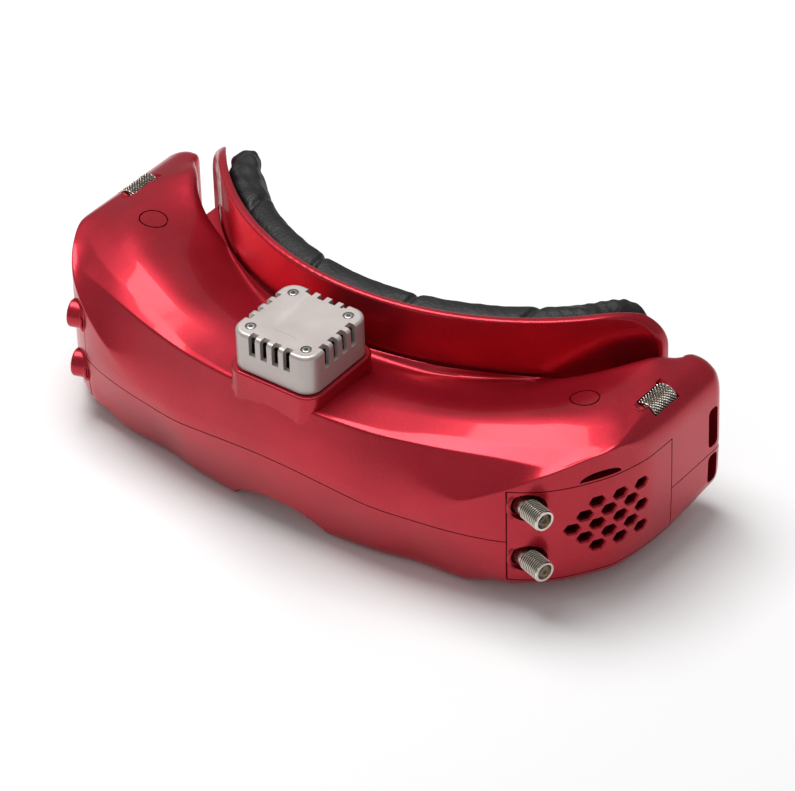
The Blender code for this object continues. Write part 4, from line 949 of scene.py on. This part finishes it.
class GOGGLES_OT_side_covers(bpy.types.Operator):
    """Build the side covers with their bosses and hexagon vents"""
    bl_idname = "goggles.side_covers"
    bl_label = "Side covers"

    def execute(self, context):
        for name, side in SIDES:
            cover = body_form(f"painted_{name}_cover")
            carve(cover, [self.room(side)], "INTERSECT")
            carve(cover, [hollow_form("hollow")])
            bosses, tools = [], [vent_tools("vents", side), cover_groove("cover_edge", side)]
            for z in PORT_HEIGHTS.values():
                base = np.array((PORT_POINT[0] * side, PORT_POINT[1], z))
                way = PORT_AXIS * (side, 1, 1)
                radius, edge, top, foot = PORT_BOSS.values()
                roll = [(radius - edge * (1 - math.cos(a)), top - edge * (1 - math.sin(a))) for a in quarter_turn(5)]
                bosses.append(turned("boss", [(radius, foot), *roll], base, way, 72))
                carve(bosses[-1], [self.room(side)], "INTERSECT")
                tools += [turned("recess", ((4.1, -2.8), (4.35, -2.0), (4.4, 9)), base, way, 72),
                          turned("bore", ((4.2, -9), (4.2, -4.6), (PORT_BORE, -4.6), (PORT_BORE, 9)), base, way, 64)]
            carve(cover, bosses, "UNION")
            carve(cover, tools)
            finish(cover, MATERIALS["red_paint"], "goggles", [name + "_side_cover"])
        return {"FINISHED"}

    @staticmethod
    def room(side):
        """The room that a cover and its bosses fill."""
        return side_band("cover_fill", GAP / 2, COVER_LENGTH - GAP / 2, 4, 5, COVER_BOTTOM_Z + GAP / 2,
                         COVER_TOP_Z - GAP / 2, side)


# ---------------------------------------------------------------- fan cover

class GOGGLES_OT_fan_cover(bpy.types.Operator):
    """Build the slotted silver fan cover and its screws"""
    bl_idname = "goggles.fan_cover"
    bl_label = "Fan cover"

    def execute(self, context):
        fan = settings("fan")
        edge, slot, pitch = fan.edge / MM, fan.slot / MM, fan.pitch / MM
        low, high = node_box("fan_cover")
        x, y, _ = (low + high) / 2
        half = (high[0] - low[0]) / 2
        top = high[2]
        roll = [(top - edge * (1 - math.sin(a)), -edge * (1 - math.cos(a))) for a in quarter_turn(7)]
        cover = prism("silver_fan_cover", rounded_square(half, 4.6, 14, (x, y)), [(low[2], 0), *roll])
        tools = [prism("inside", rounded_square(half - 1.4, 3.4, 8, (x, y)), ((low[2] - 3, 0), (top - 1.6, 0)))]
        for k in range(4):
            m = (k - 1.5) * pitch
            for end in (-1, 1):
                near, far = sorted((end * (half - 2.2), end * (half + 3)))
                for low_x, high_x, low_y, high_y in ((m - slot / 2, m + slot / 2, near, far),
                                                     (near, far, m - slot / 2, m + slot / 2)):
                    tools.append(block("slot", (x + low_x, y + low_y, top - SLOT_DEPTH),
                                       (x + high_x, y + high_y, top + 2)))
        tools.append(self.tongue(x, y, half, top))
        for k in range(1, 5):
            centre = middle_of(f"fan_cover_screw_{k}")
            tools.append(turned("screw_seat", ((0.9, -4), (0.9, -0.75), (1.62, -0.75), (1.62, 2)),
                                (centre[0], centre[1], top), (0, 0, 1), 40))
        carve(cover, tools)
        soft = cover.modifiers.new("soft_edges", "BEVEL")
        soft.width = 0.16 * MM
        soft.segments = 2
        soft.limit_method = "ANGLE"
        soft.angle_limit = math.radians(50)
        soft.use_clamp_overlap = True
        finish(cover, MATERIALS["silver_paint"], "goggles", ["fan_cover"])
        for k in range(1, 5):
            centre = middle_of(f"fan_cover_screw_{k}")
            screw = screw_head(f"cover_screw_{k}", (centre[0], centre[1], top - 0.72), (0, 0, 1), 1.3, 0.75, 0.6, 2.8)
            finish(screw, MATERIALS["steel"], "goggles", [f"fan_cover_screw_{k}"])
        return {"FINISHED"}

    @staticmethod
    def tongue(x, y, half, top):
        """The tongue recess, open at the rear, with a slanted front and a soft ramp on its right side."""
        rear, front = y + half + 2, y - 7.0
        floor = np.array(((-4.6, rear), (-4.6, front + 3.4), (-3.4, front + 0.8), (3.9, front + 0.8),
                          (5.9, front + 3.4), (5.9, rear)))
        rim = np.array(((-6.2, rear), (-6.2, front + 3.0), (-4.2, front), (4.1, front), (6.0, front + 3.2),
                        (6.0, rear)))
        high = np.repeat(np.array((top - TONGUE_SINK, top + 0.02, top + 3))[:, None, None], 6, axis=1)
        flat = np.stack((floor, rim, rim)) + np.array((x, 0))
        return grid_mesh("tongue", np.concatenate((flat, high), axis=2))


# ---------------------------------------------------------------- controls

class GOGGLES_OT_controls(bpy.types.Operator):
    """Build the push buttons and the knurled scroll wheels"""
    bl_idname = "goggles.controls"
    bl_label = "Controls"

    def execute(self, context):
        controls = settings("controls")
        depth, teeth = controls.knurl / MM, controls.teeth
        for name, side in SIDES:
            low, high = node_box(name + "_button")
            x, y, _ = (low + high) / 2
            button = body_form(f"{name}_button_cap_piece")
            carve(button, [turned("cap", ((3.75, 46.2), (3.75, 56)), (x, y, 0), (0, 0, 1), 64)], "INTERSECT")
            flange = turned("flange", ((4.6, low[2] + 0.06), (4.6, 47.2), (3.3, 47.2)), (x, y, 0), (0, 0, 1), 48)
            carve(button, [flange], "UNION")
            finish(button, MATERIALS["red_paint"], f"{name}_button_cap", [name + "_button"])
            self.wheel(name, depth, teeth)
        return {"FINISHED"}

    @staticmethod
    def wheel(name, depth, teeth):
        """A knurled roller.

        Two triangle waves run round it as left and right screws. The radius falls by the knurl's depth where
        either wave is low, which leaves small pyramids; the waves die out at the rounded ends.
        """
        low, high = node_box(name + "_scroll_wheel")
        x, y, z = (low + high) / 2
        radius = (high[2] - low[2]) / 2
        length = 10.4
        along = np.linspace(-length / 2 + 0.45, length / 2 - 0.45, 85)
        first = [(radius - 0.45 * (1 - math.sin(a)), -length / 2 + 0.45 * (1 - math.cos(a)))
                 for a in quarter_turn(5)]
        last = [(r, -a) for r, a in reversed(first)]
        axle = [(0.8, -length / 2 - 1.5), (0.8, -length / 2), (2.6, -length / 2), (2.7, -length / 2 + 0.25),
                (3.1, -length / 2 + 0.25), (3.2, -length / 2)]
        profile = axle + first + [(radius, a) for a in along[1:-1]] + last + [(r, -a) for r, a in reversed(axle)]

        def knurled(r, a, angle):
            pitch = 2 * np.pi * radius / teeth
            left = abs(2 * np.mod(angle / (2 * np.pi) * teeth + a / pitch, 1) - 1)
            right = abs(2 * np.mod(angle / (2 * np.pi) * teeth - a / pitch, 1) - 1)
            fade = np.clip((length / 2 - abs(a)) / 0.5, 0, 1) * (r > radius - 0.2)
            return r - depth * np.clip(1.25 - 1.6 * np.minimum(left, right), 0, 1) * fade

        wheel = turned(f"{name}_knurled_wheel", profile, (x, y, z), (0, 1, 0), 240, radius=knurled)
        finish(wheel, MATERIALS["nickel"], name + "_wheel", [name + "_scroll_wheel"], sharp=50)


# ---------------------------------------------------------------- antenna sockets

class GOGGLES_OT_ports(bpy.types.Operator):
    """Build the threaded antenna sockets and the blanking plugs"""
    bl_idname = "goggles.ports"
    bl_label = "Antenna ports"

    def execute(self, context):
        pitch = settings("controls").thread / MM
        for level, z in PORT_HEIGHTS.items():
            base = np.array((*PORT_POINT, z))
            self.connector(level, base, pitch)
            profile = ((0.75, 4.6), (0.75, -5.8), (1.85, -5.8), (1.85, 4.6))
            insulator = turned(level + "_white_insulator", profile, base, PORT_AXIS, 48, ring=True)
            finish(insulator, MATERIALS["white_insulator"], "goggles", [level + "_antenna_insulator"])
            profile = ((0.5, -5.4), (0.5, 5.2), (0.42, 5.4), (0.28, 5.4), (0.25, 2.6))
            contact = turned(level + "_gold_contact", profile, base, PORT_AXIS, 32)
            finish(contact, MATERIALS["gold"], "goggles", [level + "_antenna_contact"])
            dome = [(4.1 - 0.7 * (1 - math.cos(a)), 1.8 + 0.7 * math.sin(a)) for a in quarter_turn(7)]
            profile = [(3.1, -6.0), (3.1, -2.5), (4.1, -2.5), *dome, (2.9, 2.5), (2.7, 2.2), (2.4, 2.2), (2.2, 2.55),
                       (0.6, 2.7)]
            plug = turned(level + "_red_plug", profile, base * (-1, 1, 1), PORT_AXIS * (-1, 1, 1), 72)
            finish(plug, MATERIALS["red_paint"], "goggles", [level + "_port_plug"])
        return {"FINISHED"}

    @staticmethod
    def connector(level, base, pitch):
        """A coax socket with a real screw thread.

        The radius falls by a triangle wave of distance / pitch + angle / full turn, so the crests wind round the
        barrel once a pitch. The wave dies out at the tip and at the undercut.
        """
        outer, depth = 3.175, 0.38
        along = np.arange(0.6, 7.35, pitch / 10)
        profile = [(2.1, -6.4), (3.9, -6.4), (3.9, -4.9), (2.9, -4.9), (2.9, 0.4)] + [(outer, a) for a in along]
        profile += [(2.85, 7.7), (2.3, 7.7), (2.1, 7.45), (2.1, 0.0)]

        def threaded(r, a, angle):
            wave = abs(2 * np.mod(a / pitch + angle / (2 * np.pi), 1) - 1)
            fade = np.clip((a - 0.5) / 0.4, 0, 1) * np.clip((7.5 - a) / 0.4, 0, 1) * (r > 3.1)
            return r - depth * np.clip(1.15 * wave, 0, 1) * fade - 0.2 * (1 - fade) * (r > 3.1) * (a < 1)

        piece = turned(level + "_threaded_socket", profile, base, PORT_AXIS, 96, ring=True, radius=threaded)
        finish(piece, MATERIALS["nickel"], "goggles", [level + "_antenna_connector"], sharp=48)


# ---------------------------------------------------------------- face frame

class GOGGLES_OT_face_frame(bpy.types.Operator):
    """Build the curved red plate behind the shells"""
    bl_idname = "goggles.face_frame"
    bl_label = "Face frame"

    def execute(self, context):
        centre_z = 34.0
        outer, turn = plate_outline(78, 1.0, 59.7, 13, 16, 21, 18, 720, centre_z)
        inner, _ = plate_outline(51, 5.5, 40.2, 12, 12, 27, 25, 720, centre_z)
        radius = 0.9
        rise, run = radius * (1 - np.sin(quarter_turn(5))), radius * (1 - np.cos(quarter_turn(5)))
        half = np.linspace(0, 1, 18)[1:-1]
        inwards = np.concatenate((np.zeros(10), half, np.ones(10), half[::-1]))
        edge, deep, inside = np.zeros(52), np.zeros(52), np.zeros(52)
        edge[:10] = inside[26:36] = np.concatenate((rise, rise[::-1]))
        deep[:36] = np.concatenate((run, FRAME_WALL - run[::-1], np.full(16, FRAME_WALL), FRAME_WALL - run,
                                    run[::-1]))
        mix = inwards[:, None]
        from_outer = outer[None] - edge[:, None] * (mix == 0)
        from_inner = inner[None] + inside[:, None] * (mix == 1)
        r = from_outer * (1 - mix) + from_inner * mix
        x = r * np.sin(turn)[None]
        z = centre_z - r * np.cos(turn)[None]
        y = frame_y(x, deep[:, None] + 0 * x)
        plate = grid_mesh("painted_face_frame", np.stack((x, y, z), axis=-1), close_rows=True)
        tools = []
        for k in range(1, 5):
            middle = middle_of(f"frame_screw_{k}")
            turned_by = math.asin(middle[0] / FACE_RADIUS)
            way = np.array((-math.sin(turned_by), math.cos(turned_by), 0))
            place = np.array((middle[0], arc_y(middle[0], 0), middle[2]))
            tools += [turned("hole", ((1.3, -6), (1.3, 6)), place, way, 32),
                      turned("seat", ((2.5, 1.1), (2.5, 8)), place, way, 32)]
        carve(plate, tools)
        finish(plate, MATERIALS["red_paint"], "goggles", ["face_frame"])
        return {"FINISHED"}


# ---------------------------------------------------------------- foam

class GOGGLES_OT_foam(bpy.types.Operator):
    """Build the padded leather ring on the face frame"""
    bl_idname = "goggles.foam"
    bl_label = "Face foam"

    def execute(self, context):
        foam = settings("foam")
        pad = self.ring("leather_face_foam", 0.9)
        pad = self.swell(pad, foam.pressure, foam.cap)
        smooth = pad.modifiers.new("fine", "SUBSURF")
        smooth.levels = smooth.render_levels = 2
        self.apply(pad)
        self.wrinkle(pad, foam.wrinkle / MM)
        mesh = pad.data
        mesh.shade_smooth()
        mesh.materials.clear()
        mesh.materials.append(MATERIALS["foam_leather"])
        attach(pad, "goggles")
        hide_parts("face_foam")
        return {"FINISHED"}

    @staticmethod
    def ring(name, shrink):
        """The foam ring: at each angle, a superellipse between the outer and the inner outline.

        Across the ring it runs from the outer to the inner radius, and in depth from the frame to the face.
        """
        centre_z = 38.0
        outer, turn = plate_outline(74, 2.2, 58.7, 13, 15, 24, 21, 240, centre_z)
        inner, _ = plate_outline(58, 13, 45, 12, 12, 33, 31, 240, centre_z)
        v = np.linspace(0, 2 * np.pi, 28, endpoint=False)[:, None]
        across = 0.5 - 0.5 * np.sign(np.cos(v)) * abs(np.cos(v)) ** 0.55
        deep = 0.5 - 0.5 * np.sign(np.sin(v)) * abs(np.sin(v)) ** 0.45
        outer, inner = outer - shrink, inner + shrink
        r = outer[None] * (1 - across) + inner[None] * across
        x = r * np.sin(turn)[None]
        z = centre_z - r * np.cos(turn)[None]
        front = frame_y(x, FRAME_WALL + GAP) + 0.25
        back = foam_back_y(x) - shrink
        y = front + (back - front) * (1 - deep)
        return grid_mesh(name, np.stack((x, y, z), axis=-1), close_rows=True)

    @staticmethod
    def apply(piece):
        depsgraph = bpy.context.evaluated_depsgraph_get()
        made = bpy.data.meshes.new_from_object(piece.evaluated_get(depsgraph))
        piece.modifiers.clear()
        piece.data = made

    def swell(self, pad, pressure, cap):
        """Cloth under pressure: the pad swells for 20 frames, and no point moves further than the cap."""
        remesh = pad.modifiers.new("remesh", "REMESH")
        remesh.mode = "VOXEL"
        remesh.voxel_size = 0.0022
        self.apply(pad)
        count = len(pad.data.vertices)
        before = np.empty(count * 3)
        pad.data.vertices.foreach_get("co", before)
        cloth = pad.modifiers.new("cloth", "CLOTH")
        cloth.settings.use_pressure = True
        cloth.settings.uniform_pressure_force = pressure
        cloth.settings.effector_weights.gravity = 0
        cloth.settings.quality = 6
        for number in range(1, 21):
            bpy.context.scene.frame_set(number)
        self.apply(pad)
        after = np.empty(count * 3)
        pad.data.vertices.foreach_get("co", after)
        before, after = before.reshape(-1, 3), after.reshape(-1, 3)
        moved = after - before
        reach = np.linalg.norm(moved, axis=1, keepdims=True)
        moved *= np.minimum(1, cap / np.maximum(reach, 1e-9))
        place = before + moved
        place[:, 1] = np.maximum(place[:, 1], frame_y(place[:, 0] / MM, FRAME_WALL + 0.1) * MM)
        pad.data.vertices.foreach_set("co", place.ravel())
        pad.data.update()
        bpy.context.scene.frame_set(1)
        return pad

    @staticmethod
    def wrinkle(pad, depth):
        """Wrinkles at the temples and stitched notches on the top edge.

        A sum of three slanted sine waves moves points along their normals. It is strong past x = 50 mm and fades
        to nothing at the middle. Each notch is a narrow bell curve in x on the top edge.
        """
        mesh = pad.data
        count = len(mesh.vertices)
        place, normal = np.empty(count * 3), np.empty(count * 3)
        mesh.vertices.foreach_get("co", place)
        mesh.vertices.foreach_get("normal", normal)
        place, normal = place.reshape(-1, 3) / MM, normal.reshape(-1, 3)
        x, y, z = place.T
        temple = np.clip((abs(x) - 44) / 18, 0, 1)
        wave = (np.sin(z * 0.75 + y * 0.55 + np.sin(z * 0.31 + x * 0.2) * 1.6)
                + 0.6 * np.sin(z * 1.35 - y * 0.9 + x * 0.4 + 1.3) + 0.4 * np.sin(y * 1.7 + z * 0.5 + x * 0.9))
        shift = -depth * (0.18 + 0.82 * temple) * np.abs(wave) ** 0.8 * np.sign(wave) * 0.6
        top = np.clip((z - 52) / 4, 0, 1)
        for middle in (-47.0, -16.0, 16.0, 47.0):
            shift -= top * 0.9 * np.exp(-((x - middle) / 0.9) ** 2)
        place += normal * shift[:, None]
        place[:, 1] = np.maximum(place[:, 1], frame_y(place[:, 0], FRAME_WALL + 0.05))
        mesh.vertices.foreach_set("co", (place * MM).ravel())
        mesh.update()


# ---------------------------------------------------------------- optics

class GOGGLES_OT_optics(bpy.types.Operator):
    """Build the rear panel, eyepieces, focus rings and lenses"""
    bl_idname = "goggles.optics"
    bl_label = "Optics"

    def execute(self, context):
        half, low, high = OPENING.values()
        band = arc_band(np.linspace(GAP - half, half - GAP, 81), -3.4, -1.4)
        panel = prism("moulded_rear_panel", band, ((low + GAP, 0), (high - GAP, 0)))
        tools = [arch_tool("panel_arch", 2.8)]
        for name, side in SIDES:
            x = middle_of(name + "_focus_ring")[0]
            t = np.linspace(-np.pi / 2, np.pi / 2, 33)
            right = np.stack((x + 3.25 + 13.6 * np.cos(t), EYE_Z + 13.6 * np.sin(t)), 1)
            left = np.stack((x - 3.25 - 13.6 * np.cos(t), EYE_Z - 13.6 * np.sin(t)), 1)
            tools.append(prism("barrel_slot", np.concatenate((right, left)), ((-20, 0), (25, 0)), "Y"))
        carve(panel, tools)
        finish(panel, MATERIALS["black_plastic"], "goggles", ["rear_panel"])
        for name, side in SIDES:
            self.eyepiece(name)
        return {"FINISHED"}

    @staticmethod
    def eyepiece(name):
        """A ribbed barrel with its lug, a grip ring and a lens that bulges by a parabola on both faces."""
        low, high = node_box(name + "_focus_ring")
        x = (low[0] + high[0]) / 2
        centre = (x, 0, EYE_Z)
        bore = 10.4
        y = np.linspace(-26.5, -9.0, 60)
        ribs = [(12.0 - 0.12 * (math.sin(a * 3.2) > 0.4), a) for a in y]
        barrel = turned(name + "_barrel", [(bore, -26.5), *ribs, (bore, -9.0)], centre, (0, 1, 0), 96, ring=True)
        rail = middle_of("ipd_rail")
        lug = block("lug", (x - 4, rail[1] - 2.6, EYE_Z + 10.8), (x + 4, rail[1] + 2.6, rail[2] + 2.6))
        carve(barrel, [lug], "UNION")
        carve(barrel, [turned("lug_bore", ((1.3, -9), (1.3, 9)), (x, rail[1], rail[2]), (1, 0, 0), 32),
                       turned("clear", ((bore, -30), (bore, 0)), centre, (0, 1, 0), 96)])
        finish(barrel, MATERIALS["black_plastic"], name + "_optics", [name + "_eyepiece"])
        first, last = low[1], high[1]
        profile = [(10.6, first), (12.4, first), (12.9, first + 0.5)]
        profile += [(13.0, a) for a in np.linspace(first + 0.7, last - 0.9, 8)]
        profile += [(12.7, last - 0.3), (12.2, last), (9.9, last), (9.2, last - 0.5), (9.0, last - 1.2),
                    (10.6, last - 1.2)]
        ring = turned(name + "_grip_ring", profile, centre, (0, 1, 0), 288, ring=True,
                      radius=lambda r, a, angle: r - 0.32 * (np.cos(angle * 36) > 0.35) * (r > 12.95))
        finish(ring, MATERIALS["black_plastic"], name + "_focus", [name + "_focus_ring"], sharp=40)
        low, high = node_box(name + "_lens")
        edge = (high[0] - low[0]) / 2
        t = np.linspace(1, 0.03, 14)
        back = [(edge * k, low[1] + 2.2 * k ** 2) for k in t[::-1]]
        front = [(edge * k, high[1] - 2.2 * k ** 2) for k in t]
        lens = turned(name + "_glass", back + front, centre, (0, 1, 0), 96)
        finish(lens, MATERIALS["optical_glass"], name + "_lens_cell", [name + "_lens"])


# ---------------------------------------------------------------- carried-over pieces

class GOGGLES_OT_inner_parts(bpy.types.Operator):
    """Give every carried-over CAD piece its finish"""
    bl_idname = "goggles.inner_parts"
    bl_label = "Inner parts"

    def execute(self, context):
        for name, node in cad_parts.items():
            for slot in node.material_slots:
                base = slot.material.name.split(".")[0] if slot.material else ""
                kind = next((key for key in MATERIALS if key in base), None)
                slot.material = MATERIALS[kind or self.kind_of(name)]
        return {"FINISHED"}

    @staticmethod
    def kind_of(name):
        words = (("board", "circuit_board"), ("screw", "steel"), ("rail", "steel"), ("display", "screen"),
                 ("lead", "cable_black"))
        return next((kind for word, kind in words if word in name), "black_plastic")


# ---------------------------------------------------------------- stage

def area_light(name, place, target, size, power, colour=(1, 1, 1)):
    """A rectangular soft light at a place, turned to its target."""
    light = bpy.data.lights.new(name, "AREA")
    light.shape = "RECTANGLE"
    light.size, light.size_y = size
    light.energy = power
    light.color = colour
    lamp = bpy.data.objects.new(name, light)
    place = np.array(place, float)
    across, up, way = axes_of((place - np.array(target)) / np.linalg.norm(place - np.array(target)))
    lamp.matrix_world = Matrix.Translation(place) @ Matrix(np.stack((across, up, way), axis=1).tolist()).to_4x4()
    bpy.context.scene.collection.objects.link(lamp)
    return lamp


class GOGGLES_OT_stage(bpy.types.Operator):
    """Build the floor, the soft lights and the camera"""
    bl_idname = "goggles.stage"
    bl_label = "Stage"

    def execute(self, context):
        stage = settings("stage")
        scene = context.scene
        mesh = bpy.data.meshes.new("floor")
        mesh.from_pydata([(-4, -4, 0), (4, -4, 0), (4, 4, 0), (-4, 4, 0)], [], [(0, 1, 2, 3)])
        floor = bpy.data.objects.new("floor", mesh)
        scene.collection.objects.link(floor)
        tree, shader = material("pale_floor", 0.0, Specular_IOR_Level=0.1)
        toned(tree, shader, stage.floor, shade(stage.floor, 0.99), 8.0, 0.8, 0.9)
        mesh.materials.append(MATERIALS["pale_floor"])

        world = bpy.data.worlds.new("studio")
        world.use_nodes = True
        world.node_tree.nodes["Background"].inputs["Color"].default_value = (1, 1, 1, 1)
        world.node_tree.nodes["Background"].inputs["Strength"].default_value = stage.sky
        scene.world = world
        area_light("top_softbox", (-0.20, 0.07, 0.75), (0, -0.01, 0.03), (0.56, 0.50), stage.top_light)
        area_light("front_fill", (0.5, -0.9, 0.7), (0, 0, 0.02), (0.9, 0.6), stage.fill_light)

        camera = bpy.data.cameras.new("camera")
        camera.lens = 197.2
        camera.sensor_width = 36
        camera.clip_end = 20
        eye = bpy.data.objects.new("camera", camera)
        turn = Matrix(((0.8042, -0.3417, 0.4863), (0.5938, 0.4946, -0.6346), (-0.0236, 0.7992, 0.6007)))
        eye.matrix_world = Matrix.Translation((0.5990, -0.7640, 0.7490)) @ turn.to_4x4()
        scene.collection.objects.link(eye)
        scene.camera = eye
        scene.view_settings.view_transform = "Standard"
        return {"FINISHED"}


class GOGGLES_PT_panel(bpy.types.Panel):
    bl_idname = "GOGGLES_PT_panel"
    bl_label = "FPV goggles"
    bl_space_type = "VIEW_3D"
    bl_region_type = "UI"
    bl_category = "Goggles"

    def draw(self, context):
        for name, kind in SETTINGS.items():
            column = self.layout.box().column()
            group = settings(name)
            for label in kind.__annotations__:
                column.prop(group, label)
        for operator in OPERATORS:
            self.layout.operator(operator.bl_idname)


OPERATORS = (GOGGLES_OT_shells, GOGGLES_OT_side_covers, GOGGLES_OT_fan_cover, GOGGLES_OT_controls, GOGGLES_OT_ports,
             GOGGLES_OT_face_frame, GOGGLES_OT_foam, GOGGLES_OT_optics, GOGGLES_OT_inner_parts, GOGGLES_OT_stage)


def register():
    for kind in (*SETTINGS.values(), *OPERATORS, GOGGLES_PT_panel):
        bpy.utils.register_class(kind)
    for name, kind in SETTINGS.items():
        setattr(bpy.types.Scene, "goggles_" + name, PointerProperty(type=kind))


def unregister():
    for name in SETTINGS:
        delattr(bpy.types.Scene, "goggles_" + name)
    for kind in reversed((*SETTINGS.values(), *OPERATORS, GOGGLES_PT_panel)):
        bpy.utils.unregister_class(kind)


def main():
    register()
    make_materials()
    for operator in OPERATORS:
        family, name = operator.bl_idname.split(".")
        getattr(getattr(bpy.ops, family), name)()


if __name__ == "__main__":
    main()
